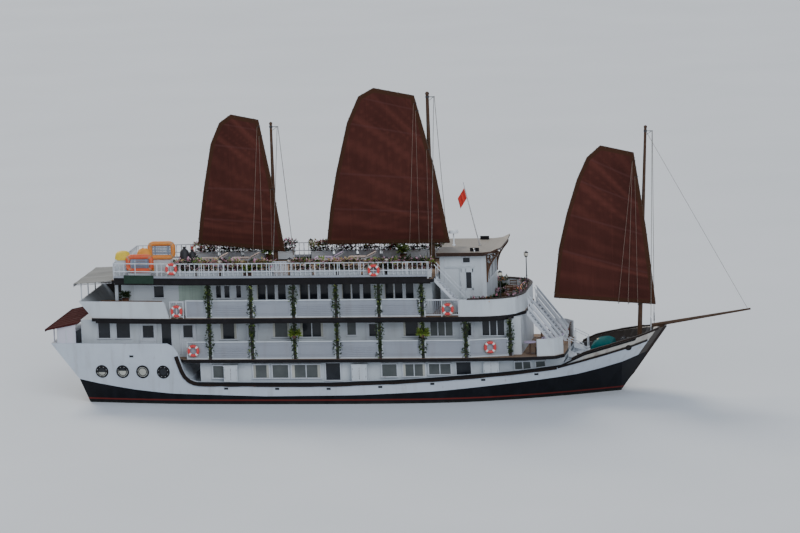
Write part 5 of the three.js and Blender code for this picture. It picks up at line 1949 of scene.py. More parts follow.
@dataclass
class Balustrade:
    """The turned balusters of the sun deck's rail, with a gap behind the floats."""

    height: float = 0.99
    step: float = 0.30
    ends: Span = (-14.3, 5.05)
    gap: Span = (-13.65, -11.85)
    stern: Span = (-14.385, 3.35)
    profile: tuple[Span, ...] = ((0.030, 0.0), (0.030, 0.12), (0.016, 0.16), (0.034, 0.30), (0.018, 0.44),
                                 (0.018, 0.52), (0.034, 0.62), (0.016, 0.78), (0.028, 0.86), (0.028, 1.0))

    def spots(self, side: int) -> list[Span]:
        """Gives the places in plan of one side's balusters; starboard's are followed by the stern's."""
        count = round((self.ends[1] - self.ends[0]) / self.step)
        run = [self.ends[0] + i * self.step for i in range(count + 1)]
        found = [(x, Probe.deck_edge(x, side, 0.118)) for x in run
                 if side > 0 or not self.gap[0] < x < self.gap[1]]
        aft, half = self.stern
        return found + [(aft, y) for y in spaced(-half, half, 24) if side < 0]

    def build(self) -> None:
        """Makes the balusters of both sides and of the stern."""
        profile = [(radius, share * self.height) for radius, share in self.profile]
        for side, name in SIDES.items():
            shape = Shape()
            for x, y in self.spots(side):
                shape.lathe(upright(x, y, SUN_DECK), profile, 0, 7)
            shape.build(f"sun_deck_balusters_{name}", [WHITE], smooth=70)


@dataclass
class SunDeck:
    """The fittings of the sun deck."""

    dice: random.Random = field(default_factory=lambda: random.Random(SEED + 1))
    planters_at: tuple[float, ...] = (-9.9, -8.4, -6.9, -5.0, -2.6, -1.1, 0.4, 1.9, 3.4, 4.75)
    lanterns_at: tuple[float, ...] = (-7.65, -3.3, 2.65)
    plants_at: tuple[Span, ...] = ((-5.95, -3.75), (-5.95, 3.55), (2.65, -3.1), (2.65, 3.1), (-0.35, -3.2))
    loungers_at: tuple[float, ...] = (-9.2, -7.2, -1.9, 0.2)
    bags_at: tuple[tuple[float, ...], ...] = ((-10.25, -1.75, 0.32, 1.75), (-9.85, -1.35, 0.28, 1.5),
                                              (-9.5, -1.75, 0.26, 1.2))

    def planters(self) -> None:
        """Makes the planter boxes and the lanterns that stand along the rail."""
        boxes, green = Shape(), Shape()
        for side, x in product(SIDES, self.planters_at):
            place = upright(x, Probe.deck_edge(x, side, 0.42), SUN_DECK)
            boxes.block(place, (-0.62, 0.62), (0.0, 0.06), (-0.15, 0.15), 1)
            boxes.block(place, (-0.66, 0.66), (0.06, 0.50), (-0.17, 0.17))
            boxes.block(place, (-0.70, 0.70), (0.50, 0.56), (-0.20, 0.20))
            for along in spaced(-0.5, 0.5, 5):
                Bush(46, 0.25, 0.17).fill(green, self.dice, place.at(along, 0.68), 0, 1)
                heart = place.at(along, self.dice.uniform(0.92, 1.12))
                kind = self.dice.choice((0, 0, 2, 3))
                Bush(60, 0.40, 0.21, 0.28).fill(green, self.dice, heart, kind, 1)
        boxes.build("sun_deck_planters", [HOUSE_WHITE, EDGE], bevel=0.008)
        green.build("sun_deck_planting", [LEAVES, PETALS, GOLD_LEAVES, BRIGHT_LEAVES])
        for (side, name), (i, x) in product(SIDES.items(), enumerate(self.lanterns_at, 1)):
            place = upright(x, Probe.deck_edge(x, side, 0.42), SUN_DECK)
            lamp_post(f"sun_deck_lantern_{name}_{i}", place, 1.35)

    def plants(self) -> None:
        """Makes the taller potted plants."""
        for i, (x, y) in enumerate(self.plants_at, 1):
            Bush(170, 0.42, 0.24).potted(f"sun_deck_plant_{i}", self.dice, upright(x, y, SUN_DECK),
                                         [BRIGHT_LEAVES, LEAVES], True)

    def loungers(self) -> None:
        """Makes the two rows of loungers."""
        for i, (x, y) in enumerate(product(self.loungers_at, (-2.45, 2.45)), 1):
            place = upright(x, y, SUN_DECK, 180.0 if y < 0 else 0.0)
            Lounger().build(f"lounger_{i}", place, CUSHION if i % 3 else LILAC_CLOTH)

    @staticmethod
    def grille() -> None:
        """Makes the white grille that stands by the rail."""
        place = upright(-3.9, Probe.deck_edge(-3.9, -1, 0.28), SUN_DECK)
        shape = Shape()
        shape.blocks(place, spans((-0.48, 0.43), 0.05), [(0.0, 1.12)], (-0.03, 0.03))
        shape.blocks(place, [(-0.48, 0.48)], spans((0.08, 1.07), 0.05), (-0.03, 0.03))
        slats = spans([-0.40 + i * 0.103 for i in range(8)], 0.065)
        shape.blocks(place, slats, [(0.12, 1.08)], (-0.012, 0.02))
        shape.build("sun_deck_grille", [WHITE], bevel=0.006)

    @staticmethod
    def heap(name: str, middle: Vector, half: float, height: float, finish: Finish) -> None:
        """Makes goods under a wrinkled cover.

        Args:
            name: the piece's name.
            middle: the middle of its underside.
            half: half of its length along the ship.
            height: its height.
            finish: the cover's finish.
        """
        rings = []
        for i in range(15):
            u = -1 + 2 * i / 14
            swell = (1 - abs(u) ** 3) ** 0.5
            ring = []
            for k in range(17):
                t = math.pi * k / 16
                wrinkle = 1 + 0.05 * math.sin(k * 2.7 + i * 1.9)
                rise = (0.10 + (height - 0.17) * swell) * math.sin(t)
                ring.append(middle + Vector((u * half, 0.40 * swell * math.cos(t) * wrinkle, rise * wrinkle)))
            rings.append(ring)
        cover = Shape()
        cover.loft(rings)
        cover.build(name, [finish], smooth=60)

    def stores(self) -> None:
        """Makes the goods at the aft end: two covered heaps, dark bags, a green box and a green cloth."""
        self.heap("yellow_stores_cover", Vector((-13.92, -2.75, 8.86)), 0.50, 0.60, YELLOW)
        self.heap("orange_stores_cover", Vector((-12.6, -2.62, 8.105)), 0.60, 1.45, AMBER)
        bags, box, crate = Shape(), Shape(), Shape()
        profile = ((0.9, 0.0), (1.08, 0.25), (1.0, 0.6), (0.8, 0.85), (0.25, 0.94), (0.35, 1.0))
        for x, y, radius, height in self.bags_at:
            bags.lathe(upright(x, y, SUN_DECK), [(radius * r, height * z) for r, z in profile], 0, 18)
        bags.build("rolled_awning_bags", [DARK_GOODS], smooth=60)
        DeckEdges.board(box, "sun_deck", (7.50, 8.02), (-13.7, -11.8), -1, -0.035)
        place = upright(-13.35, -1.6, SUN_DECK)
        box.block(place, (-0.55, 0.55), (0.0, 0.40), (-0.18, 0.18))
        box.block(place, (-0.58, 0.58), (0.40, 0.46), (-0.21, 0.21))
        box.blocks(place, spans((-0.35, 0.29), 0.06), [(0.1, 0.44)], (0.18, 0.215), 1)
        box.build("green_stores_box", [GREEN_BOX, STEEL], bevel=0.01)
        place = upright(-13.92, -2.75, SUN_DECK)
        crate.block(place, (-0.42, 0.42), (0.0, 1.20), (-0.33, 0.33))
        crate.blocks(place, [(-0.44, 0.44)], spans((0.04, 0.55, 1.06), 0.09), (-0.35, 0.35))
        crate.build("stores_crate", [HOUSE_WHITE], bevel=0.01)

    def build(self) -> None:
        """Makes the fittings."""
        Balustrade().build()
        self.planters()
        self.plants()
        self.loungers()
        self.grille()
        self.stores()


@dataclass
class Float:
    """A rescue float in place of its stand-in: a moulded ring, a slatted middle and grab lines."""

    node: str
    foot: Point
    foam: Finish = FLOAT
    length: float = 1.75
    height: float = 1.15
    tube: float = 0.148
    corner: float = 0.24
    slats: int = 7

    def outline(self, reach: float) -> list[Vector]:
        """Gives the rounded rectangle that lies a distance outside the ring's middle line."""
        half_u = self.length / 2 - self.tube - self.corner
        half_w = self.height / 2 - self.tube - self.corner
        points = []
        for k, i in product(range(4), range(9)):
            angle = math.pi / 2 * (k + i / 8)
            middle = Vector((half_u * (1, -1, -1, 1)[k], half_w * (1, 1, -1, -1)[k]))
            points.append(middle + Vector((math.cos(angle), math.sin(angle))) * (self.corner + reach))
        return points

    def build(self) -> None:
        """Makes the float."""
        x, y, z = self.foot
        place = upright(x, y, z + self.height / 2)
        shape = Shape()
        shape.tube([place.at(*point) for point in self.outline(0.0)], self.tube, 14, 0, closed=True)
        half_u, half_w = self.length / 2 - self.tube * 1.6, self.height / 2 - self.tube * 1.6
        pitch = 2 * half_w / self.slats
        lows = [-half_w + pitch * i for i in range(self.slats)]
        shape.blocks(place, [(-half_u, half_u)], spans(lows, pitch - 0.03), (-0.035, 0.03), 1)
        straps = spans((-half_u * 0.7, half_u * 0.6), 0.08)
        shape.blocks(place, straps, [(-half_w, half_w)], (-0.055, 0.045), 1)
        knots = self.outline(self.tube * 0.72)[::6]
        for out, (a, b) in product((-1, 1), list(zip(knots, knots[1:] + knots[:1]))):
            line = [a.lerp(b, t) * (1 - 0.10 * math.sin(math.pi * t)) for t in spaced(0.0, 1.0, 9)]
            shape.tube([place.at(*point, out * (self.tube * 0.78 + 0.02)) for point in line], 0.012, 5, 2)
        for middle, outer in list(zip(self.outline(0.0), self.outline(self.tube)))[4::9]:
            u, w = (outer - middle).normalized()
            band = Place(place.at(*middle), place.along * u + place.up * w, place.out)
            ring = band.circle(self.tube + 0.008, 14)
            for shift in (0.0, 0.05):
                step = (place.up * u - place.along * w) * shift
                shape.tube([point + step for point in ring], 0.016, 5, 2, closed=True)
        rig.replaces(shape.build(f"{self.node}_float", [self.foam, FLOAT_GREY, ROPE], smooth=60), self.node)


@dataclass
class Wheelhouse:
    """The frames, panes, door fittings, roof brackets and lamps of the wheelhouse."""

    half: float = 2.5
    front: float = 8.6
    back: float = 5.75
    eave: float = 2.88
    roof: Span = (5.62, 8.75)
    trim: Shape = field(default_factory=Shape)
    glass: Shape = field(default_factory=Shape)

    def light(self, place: Place, size: Span, panes: int = 2) -> None:
        """Adds a framed light in one of the cut openings.

        Args:
            place: the frame at the middle of the opening, on the wall's outer face.
            size: half of its width and half of its height.
            panes: how many panes it has side by side.
        """
        w, h = size
        self.trim.blocks(place, [(-w - 0.06, w + 0.06)], spans((h - 0.01, -h - 0.06), 0.07), (-0.02, 0.03))
        self.trim.blocks(place, spans((-w - 0.06, w - 0.01), 0.07), [(-h, h)], (-0.02, 0.03))
        bars = [-w + 2 * w * i / panes - 0.025 for i in range(1, panes)]
        self.trim.blocks(place, spans(bars, 0.05), [(-h, h)], (-0.06, 0.02))
        self.glass.block(place, (-w, w), (-h, h), (-0.055, -0.04))

    def brackets(self) -> None:
        """Makes the fretted brackets under the front corners of the roof."""
        shape = Shape()
        for side, inset in product(SIDES, (0.10, 0.26)):
            place = Place(Vector((self.front + 0.02, side * (self.half - inset), 7.35)))
            path = [place.at(u, w) for u, w in ((0.0, 0.0), (0.06, 0.45), (0.20, 0.85), (0.42, 1.20),
                                                (0.66, 1.50), (0.74, 1.70))]
            shape.tube(curve_through(path, 4), 0.045, 8)
            shape.tube([place.at(0.0, -0.2), place.at(0.0, 1.58)], 0.05, 8)
            shape.tube([place.at(0.0, 1.58), place.at(0.72, 1.68)], 0.04, 8)
            for u, w, radius in ((0.13, 1.05, 0.12), (0.30, 1.36, 0.15), (0.08, 0.66, 0.08),
                                 (0.12, 1.36, 0.11), (0.50, 1.54, 0.10)):
                shape.hoop(place.moved(u, w), radius, 0.022, 0, 18, 6)
            for u, w in ((0.20, 1.20), (0.42, 1.47), (0.10, 0.86)):
                shape.hoop(place.moved(u, w), 0.05, 0.018, 0, 12, 6)
        shape.build("roof_brackets", [JOINERY], smooth=60)

    def fascia(self) -> None:
        """Makes the deep dark boards that hang from the roof's eaves."""
        shape = Shape()
        for side in SIDES:
            out = side * (self.eave - 0.03)
            rings = []
            for x in spaced(*self.roof, 19):
                top = Probe.top("cabin_roof", x, out)
                rings.append([top + Vector((0, side * far, -drop)) for far, drop in
                              ((0.0, 0.03), (0.045, 0.03), (0.045, 0.22), (0.0, 0.22))])
            shape.loft(rings)
        shape.build("wheelhouse_fascia", [DOOR_TIMBER], bevel=0.004)

    def lamps(self) -> None:
        """Makes the side lamps on the roof, their boards and the domed post on the ridge."""
        shape = Shape()
        for side in SIDES:
            place = Place(Probe.top("cabin_roof", 7.9, side * 2.35))
            shape.block(place, (-0.28, 0.28), (0.0, 0.22), (-0.015, 0.015))
            lamp = [(0.07, 0.0), (0.07, 0.03), (0.055, 0.04), (0.055, 0.16), (0.07, 0.17), (0.02, 0.21)]
            shape.lathe(place.moved(0, 0, -side * 0.09), lamp, 1, 12)
        dome = [(0.10, 0.0), (0.10, 0.06), (0.05, 0.10), (0.04, 0.75), (0.30, 0.78), (0.32, 0.84), (0.28, 0.98),
                (0.06, 1.02)]
        shape.lathe(Place(Probe.top("cabin_roof", 6.3, 0.0)), dome, 2, 16)
        shape.build("wheelhouse_lamps", [EDGE, STEEL, PLASTIC_WHITE], smooth=60)

    @staticmethod
    def door(side: int) -> None:
        """Makes the fittings of the sliding door on one side."""
        name = SIDES[side]
        rails, pane = Shape(), Shape()
        place = Probe.panel(f"cabin_door_{name}", 7.4, 7.1, (0.3, 0.3), side)
        rails.blocks(place, [(-0.40, 0.40)], [(-0.93, -0.84), (-0.38, -0.27), (0.72, 0.93)], (-0.005, 0.022))
        rails.blocks(place, [(-0.40, -0.30), (-0.11, -0.04), (0.29, 0.40)], [(-0.93, 0.93)], (-0.005, 0.022))
        handle = ((-0.12, 0.02), (-0.12, 0.06), (0.14, 0.06), (0.14, 0.02))
        rails.tube([place.at(-0.355, up, out) for up, out in handle], 0.012, 6, 1)
        pane.block(place, (-0.05, 0.30), (-0.28, 0.73), (-0.004, 0.008))
        rails.build(f"wheelhouse_door_rails_{name}", [HOUSE_WHITE, STEEL], f"{name}_door", 0.004)
        pane.build(f"wheelhouse_door_glass_{name}", [GLASS], f"{name}_door")

    def build(self) -> None:
        """Makes the fittings."""
        for y in (-1.5, 0.0, 1.5):
            self.light(Place(Vector((self.front, y, 7.75)), ABEAM, UPWARD, ALONG), (0.65, 0.60))
        for y in (-1.3, 1.3):
            self.light(Place(Vector((self.back, y, 8.25)), -ABEAM, UPWARD, -ALONG), (0.60, 0.30))
        for side in SIDES:
            wall = Place(Vector((7.4, side * self.half, 8.56)), out=ABEAM * side)
            self.light(wall, (0.22, 0.16), 1)
            self.trim.blocks(wall, spans((-1.38, 0.87), 0.06), [(-2.46, 0.36)], (-0.01, 0.02))
        self.trim.build("wheelhouse_frames", [WHITE], bevel=0.006)
        self.glass.build("wheelhouse_panes", [GLASS])
        self.brackets()
        self.fascia()
        self.lamps()
        for side in SIDES:
            self.door(side)


@dataclass
class Chair:
    """A dining chair with raked back legs, a slatted back and a seat pad."""

    seat: float = 0.45
    half: float = 0.22
    back: float = 0.98

    def build(self, name: str, place: Place, cloth: Finish = RED_CLOTH) -> None:
        """Makes the chair.

        Args:
            name: the start of its pieces' names.
            place: the frame on the deck under its middle; its back is on the outward side.
            cloth: the seat pad's cloth.
        """
        h, seat = self.half, self.seat
        shape = Shape()
        shape.blocks(place, spans((-h, h - 0.04), 0.04), [(0.0, seat)], (-h, -h + 0.04))
        for a in (-h + 0.02, h - 0.02):
            leg = ((0.0, h - 0.02), (seat, h - 0.03), (self.back, h + 0.08))
            shape.tube([place.at(a, up, out) for up, out in leg], 0.022, 6)
        shape.block(place, (-h, h), (seat - 0.06, seat), (-h, h))
        for low in (0.60, 0.74, 0.90):
            out = h - 0.03 + (low - seat) * 0.2
            shape.block(place, (-h + 0.02, h - 0.02), (low, low + 0.06), (out, out + 0.02))
        shape.blocks(place, spans((-h + 0.02, h - 0.04), 0.02), [(0.15, 0.18)], (-h + 0.03, h - 0.03))
        shape.build(f"{name}_frame", [JOINERY], bevel=0.004)
        cushion(f"{name}_pad", place.moved(0, seat + 0.002), (h * 1.8, h * 1.8, 0.05), cloth)


def table(name: str, place: Place, radius: float, cloth: Finish | None = None) -> None:
    """Makes a round table on a turned column.

    Args:
        name: the piece's name.
        place: the frame on the deck under its middle.
        radius: the radius of its top.
        cloth: the finish of its top, or None for timber.
    """
    shape = Shape()
    shape.lathe(place, [(0.26, 0.0), (0.26, 0.03), (0.08, 0.07), (0.045, 0.12), (0.06, 0.30), (0.04, 0.48),
                        (0.05, 0.68), (0.14, 0.71)], 0, 14)
    shape.lathe(place.moved(0, 0.71), [(radius - 0.02, 0.0), (radius, 0.01), (radius, 0.035),
                                       (radius - 0.01, 0.045)], 1, 28)
    shape.build(name, [JOINERY, cloth or JOINERY], bevel=0.003, smooth=50)


def lamp_post(name: str, place: Place, h: float) -> None:
    """Makes a turned post with a lantern at its head.

    Args:
        name: the piece's name.
        place: the frame at its foot.
        h: its height.
    """
    shape = Shape()
    shape.lathe(place, [(0.11, 0.0), (0.11, 0.05), (0.05, 0.10), (0.035, 0.25), (0.035, h * 0.5),
                        (0.0525, h * 0.5 + 0.04), (0.035, h * 0.5 + 0.08), (0.028, h - 0.42), (0.09, h - 0.38),
                        (0.10, h - 0.35)], 0, 12)
    shape.lathe(place.moved(0, h - 0.35), [(0.09, 0.0), (0.14, 0.08), (0.15, 0.16), (0.11, 0.23)], 1, 14)
    shape.lathe(place.moved(0, h - 0.12), [(0.16, 0.0), (0.12, 0.04), (0.04, 0.08), (0.02, 0.12)], 0, 14)
    shape.build(name, [IRON, LAMP_GLOBE], smooth=60)


@dataclass
class Terrace:
    """The tables, chairs, plants and lamps of the terrace and the lounge deck."""

    heart: Point = (7.6, 0.0, 6.3)
    tables_at: tuple[Span, ...] = ((9.45, -2.55), (9.45, 2.55), (9.75, 0.0))
    plants_at: tuple[Span, ...] = ((8.75, -3.45), (8.75, 3.45), (8.95, -1.3), (8.95, 1.3))

    def skin(self, turn: int, inset: float) -> tuple[Vector, Vector]:
        """Finds a place on the terrace bulwark.

        Args:
            turn: its direction from the terrace's middle, in degrees from the bow.
            inset: how far inside the outer face it is.

        Returns:
            The place at the height of the search, and the level direction outward.
        """
        heading = Vector((math.cos(math.radians(turn)), math.sin(math.radians(turn)), 0.0))
        start = Vector(self.heart) + heading * 9.0
        return Probe.hit("terrace_bulwark", start, -heading) - heading * inset, heading

    def cap_rail(self) -> None:
        """Makes the timber cap rail around the terrace bulwark."""
        rings = []
        for turn in range(-90, 91, 5):
            middle, heading = self.skin(turn, 0.06)
            place = Place(Probe.top("terrace_bulwark", middle.x, middle.y), heading)
            rings.append([place.at(along, up) for along, up in
                          ((-0.11, -0.01), (-0.11, 0.05), (0.11, 0.05), (0.11, -0.01))])
        shape = Shape()
        shape.loft(rings)
        shape.build("terrace_cap_rail", [DOOR_TIMBER], smooth=50)

    def hedge(self, dice: random.Random) -> None:
        """Makes the dark potted hedge inside the terrace bulwark, clear of the stairs and the chairs."""
        shape = Shape()
        for turn in range(-84, 85, 6):
            spot = self.skin(turn, 0.36)[0]
            stairs = spot.x > 10.1 and 1.3 < abs(spot.y) < 2.5
            chairs = abs(spot.x - 9.45) < 0.5 and abs(spot.y) > 2.8
            if stairs or chairs:
                continue
            place = upright(spot.x, spot.y, DECK_3)
            shape.lathe(place, [(0.14, 0.0), (0.18, 0.3), (0.20, 0.68), (0.16, 0.70), (0.14, 0.62)], 2, 10)
            Bush(60, 0.32, 0.19, 0.42).fill(shape, dice, place.at(0, 1.0), 0, 1 if turn % 18 else 3)
        shape.build("terrace_hedge", [LEAVES, PETALS, POT, BLOOMS], smooth=50)

    @staticmethod
    def stair_boards() -> None:
        """Makes the broad boards along the handrails of the terrace stairs."""
        for side, name in SIDES.items():
            shape = Shape()
            for y, drop in product((2.32, 1.43), (0.02, 0.44)):
                line = [Vector((11.06, side * y, 6.17 - drop)), Vector((12.98, side * y, 3.72 - drop))]
                edge = [point - UPWARD * 0.22 for point in reversed(line)]
                shape.prism(line + edge, ABEAM * side * -0.03)
            shape.build(f"terrace_stair_boards_{name}", [WHITE], bevel=0.004)

    def build(self) -> None:
        """Makes the fittings."""
        dice = random.Random(SEED + 2)
        for i, (x, y) in enumerate(self.tables_at):
            table(f"terrace_table_{i + 1}", upright(x, y, DECK_3), 0.42)
            Chair().build(f"terrace_chair_{2 * i + 1}", upright(x, y - 0.68, DECK_3))
            Chair().build(f"terrace_chair_{2 * i + 2}", upright(x, y + 0.68, DECK_3, 180.0))
        self.cap_rail()
        self.hedge(dice)
        self.stair_boards()
        for i, (x, y) in enumerate(self.plants_at, 1):
            Bush(150, 0.36, 0.22).potted(f"terrace_plant_{i}", dice, upright(x, y, DECK_3),
                                         [LEAVES, PETALS], i > 2)
        lamp_post("terrace_lamp_tall", upright(10.62, 1.0, DECK_3), 3.2)
        lamp_post("terrace_lamp_short", upright(9.55, -3.35, DECK_3), 2.7)
        for (side, name), i in product(SIDES.items(), (1, 2)):
            table(f"lounge_table_{name}_{i}", upright(10.1 + 1.1 * i, side * 2.9, DECK_2), 0.38, LILAC_CLOTH)
            Chair().build(f"lounge_chair_{name}_{i}", upright(10.75 + i, side * 2.9, DECK_2, 90.0))


@dataclass
class SideRails:
    """The gate rails, side boxes, lifebuoys and hanging ferns along the ship's side.

    A lifebuoy that hangs on a rail has its deck, its place along, how far inside the edge it is and its height.
    """

    dice: random.Random = field(default_factory=lambda: random.Random(SEED + 3))
    boxes: tuple[Span, ...] = ((-7.6, -6.75), (0.36, 1.31), (8.41, 9.37))
    gaps: tuple[tuple[float, float, int], ...] = ((4.96, 7.08, 16), (-10.85, -9.96, 7))
    hung: tuple[tuple[str, float, float, float], ...] = (
        ("sun_deck", 1.93, 0.08, 8.25), ("sun_deck", -10.65, 0.08, 8.42),
        ("deck_3", -10.4, 0.09, 5.82), ("deck_3", 6.4, 0.09, 5.82))

    def gates(self, side: int) -> None:
        """Makes the railings at the gaps before and behind the upper gallery of one side."""
        shape = Shape()
        for aft, fore, bars in self.gaps:
            foot, end = (Vector((x, Probe.side("deck_3", x, DECK_3 - 0.1, side).y - side * 0.14, DECK_3))
                         for x in (aft, fore))
            along = (end - foot).normalized()
            place = Place(foot, along, UPWARD, UPWARD.cross(along) * side)
            reach = (end - foot).length
            posts = spans((0.0, reach / 2 - 0.03, reach - 0.06), 0.06)
            shape.blocks(place, posts, [(0.0, 1.05)], (-0.03, 0.03))
            shape.block(place, (0.0, reach), (1.0, 1.07), (-0.04, 0.04))
            shape.block(place, (0.0, reach), (0.08, 0.14), (-0.02, 0.02))
            thin = spans([0.08 + i * (reach - 0.16) / bars for i in range(bars)], 0.035)
            shape.blocks(place, thin, [(0.12, 1.01)], (-0.012, 0.012), 1)
        shape.build(f"gate_rail_{SIDES[side]}", [WHITE, GRILLE_PAINTED_SHADE], bevel=0.004)

    def side_boxes(self, side: int) -> None:
        """Makes the white boxes that stand at the hull's edge beside the main deck of one side."""
        shape = Shape()
        for aft, fore in self.boxes:
            middle, half = (aft + fore) / 2, (fore - aft) / 2
            edge = Probe.side("hull_topsides", middle, 1.25, side).y
            foot = Probe.top("hull_topsides", middle, edge - side * 0.06)
            place = upright(middle, foot.y - side * 0.03, foot.z, 0.0 if side < 0 else 180.0)
            shape.block(place, (-half, half), (0.0, 1.0), (-0.14, 0.13))
            shape.block(place, (-half - 0.03, half + 0.03), (0.96, 1.03), (-0.16, 0.16))
            shape.block(place, (-half + 0.08, half - 0.08), (0.12, 0.86), (0.12, 0.145))
            shape.block(place, (-0.02, 0.02), (0.12, 0.86), (0.14, 0.155), 1)
            hinges = spans((-half + 0.05, half - 0.08), 0.03)
            shape.blocks(place, hinges, spans((0.22, 0.70), 0.1), (0.12, 0.16), 1)
        shape.build(f"side_boxes_{SIDES[side]}", [HOUSE_WHITE, STEEL], bevel=0.01)

    def lifebuoys(self, side: int) -> None:
        """Makes the lifebuoys of one side where they hang."""
        spots = []
        for node, x, inset, z in self.hung:
            level = (DECK_3 if node == "deck_3" else SUN_DECK) - 0.1
            spot = Vector((x, Probe.side(node, x, level, side).y - side * inset, z))
            spots.append(Place(spot, out=ABEAM * side))
        for x, z in ((-9.45, 3.35), (8.86, 3.4)):
            spots.append(Probe.panel(f"gallery_2_{SIDES[side]}", x, z, (0.3, 0.3), side).moved(0, 0, 0.03))
        for i, place in enumerate(spots, 1):
            Lifebuoy().build(f"lifebuoy_{SIDES[side]}_{i}", place)

    def ferns(self, side: int) -> None:
        """Makes the bright ferns that hang on two pillars of the lower gallery on one side."""
        shape = Shape()
        for x in (-3.12, 4.8):
            post = Probe.side(f"gallery_2_{SIDES[side]}", x, 4.4, side)
            heart = post + Vector((0.05, side * 0.10, 0.0))
            Bush(230, 0.36, 0.26).fill(shape, self.dice, heart, limit=4.56)
            basket = Place(post + Vector((0, side * 0.12, -0.30)))
            shape.lathe(basket, [(0.06, 0.0), (0.13, 0.08), (0.16, 0.18), (0.15, 0.2)], 1, 12)
        shape.build(f"hanging_ferns_{SIDES[side]}", [BRIGHT_LEAVES, POT])

    def build(self) -> None:
        """Makes the fittings of both sides."""
        for make, side in product((self.gates, self.side_boxes, self.lifebuoys, self.ferns), SIDES):
            make(side)


@dataclass
class Foredeck:
    """The tarpaulin over the locker, the mooring bitts and the low chairs of the foredeck."""

    along: Span = (14.8, 16.0)
    abeam: Span = (-1.3, 0.5)
    tops: Span = (2.95, 3.12)
    hang: float = 0.42
    heap: float = 0.26

    def drape(self, u: float, v: float) -> Vector:
        """Gives the place of one point of the tarpaulin.

        Args:
            u: its place along before the cloth was draped.
            v: its place abeam before the cloth was draped.

        Returns:
            The place.
        """
        (x0, x1), (y0, y1) = self.along, self.abeam
        x, y = min(max(u, x0), x1), min(max(v, y0), y1)
        top = self.tops[0] + (x - x0) * (self.tops[1] - self.tops[0]) / (x1 - x0) + 0.03
        away = math.hypot(u - x, v - y)
        if away < 1e-6:
            swell = 0.012 * math.sin(u * 9.0 + v * 4.0) * math.sin(v * 6.0)
            across = min(x - x0, x1 - x, y - y0, y1 - y, 0.5)
            return Vector((x, y, top + abs(swell) + self.heap * math.sin(across * math.pi)))
        lean = 0.20 + 0.10 * math.sin((u - v) * 14.0)
        corner = min(abs(u - x), abs(v - y)) / away
        spread = 0.035 / away + lean * (1 + 0.6 * corner)
        x, y = x + (u - x) * spread, y + (v - y) * spread
        floor = Probe.top("hull_topsides", x, y).z + 0.02
        return Vector((x, y, max(top - away * (1 - lean * 0.25), floor)))

    def tarpaulin(self) -> None:
        """Makes the teal tarpaulin draped over the locker."""
        ends = [(low - self.hang, high + self.hang) for low, high in (self.along, self.abeam)]
        shape = Shape()
        shape.grid([[self.drape(u, v) for v in spaced(*ends[1], 53)] for u in spaced(*ends[0], 45)])
        piece = shape.cloth("foredeck_tarpaulin", TARP, 0.004, offset=1.0)
        size = tuple((high - low) * SHIP_SCALE for low, high in ends)
        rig.sheet(piece, flat=size, held="draped", rests_on=["foredeck_locker"])

    def coil(self) -> None:
        """Makes the coiled warp on the locker, which fills out the tarpaulin."""
        shape = Shape()
        middle = Vector((sum(self.along) / 2, sum(self.abeam) / 2, 3.09))
        for level, radius in product(range(3), (0.18, 0.27, 0.36)):
            place = Place(middle + UPWARD * 0.07 * level, ALONG, ABEAM, UPWARD)
            shape.hoop(place, radius, 0.04, 0, 28, 6)
        shape.build("foredeck_warp", [ROPE], smooth=60)

    @staticmethod
    def bitts() -> None:
        """Makes the twin mooring bitts."""
        shape = Shape()
        for side, (x, y) in product(SIDES, ((17.0, 0.75), (14.2, 2.0))):
            place = Place(Probe.top("hull_topsides", x, side * y) - UPWARD * 0.02)
            shape.block(place, (-0.30, 0.30), (0.0, 0.05), (-0.12, 0.12))
            for a in (-0.17, 0.17):
                shape.lathe(place.moved(a, 0.04), [(0.07, 0.0), (0.07, 0.30), (0.10, 0.33), (0.10, 0.37),
                                                  (0.05, 0.38)], 0, 14)
        shape.build("foredeck_bitts", [IRON], smooth=50)

    def build(self) -> None:
        """Makes the fittings."""
        self.coil()
        self.tarpaulin()
        self.bitts()
        for i, y in enumerate((0.55, -0.55), 1):
            Lounger(1.5, 0.55).build(f"bow_chair_{i}", upright(12.2, y, DECK_2), LILAC_CLOTH)


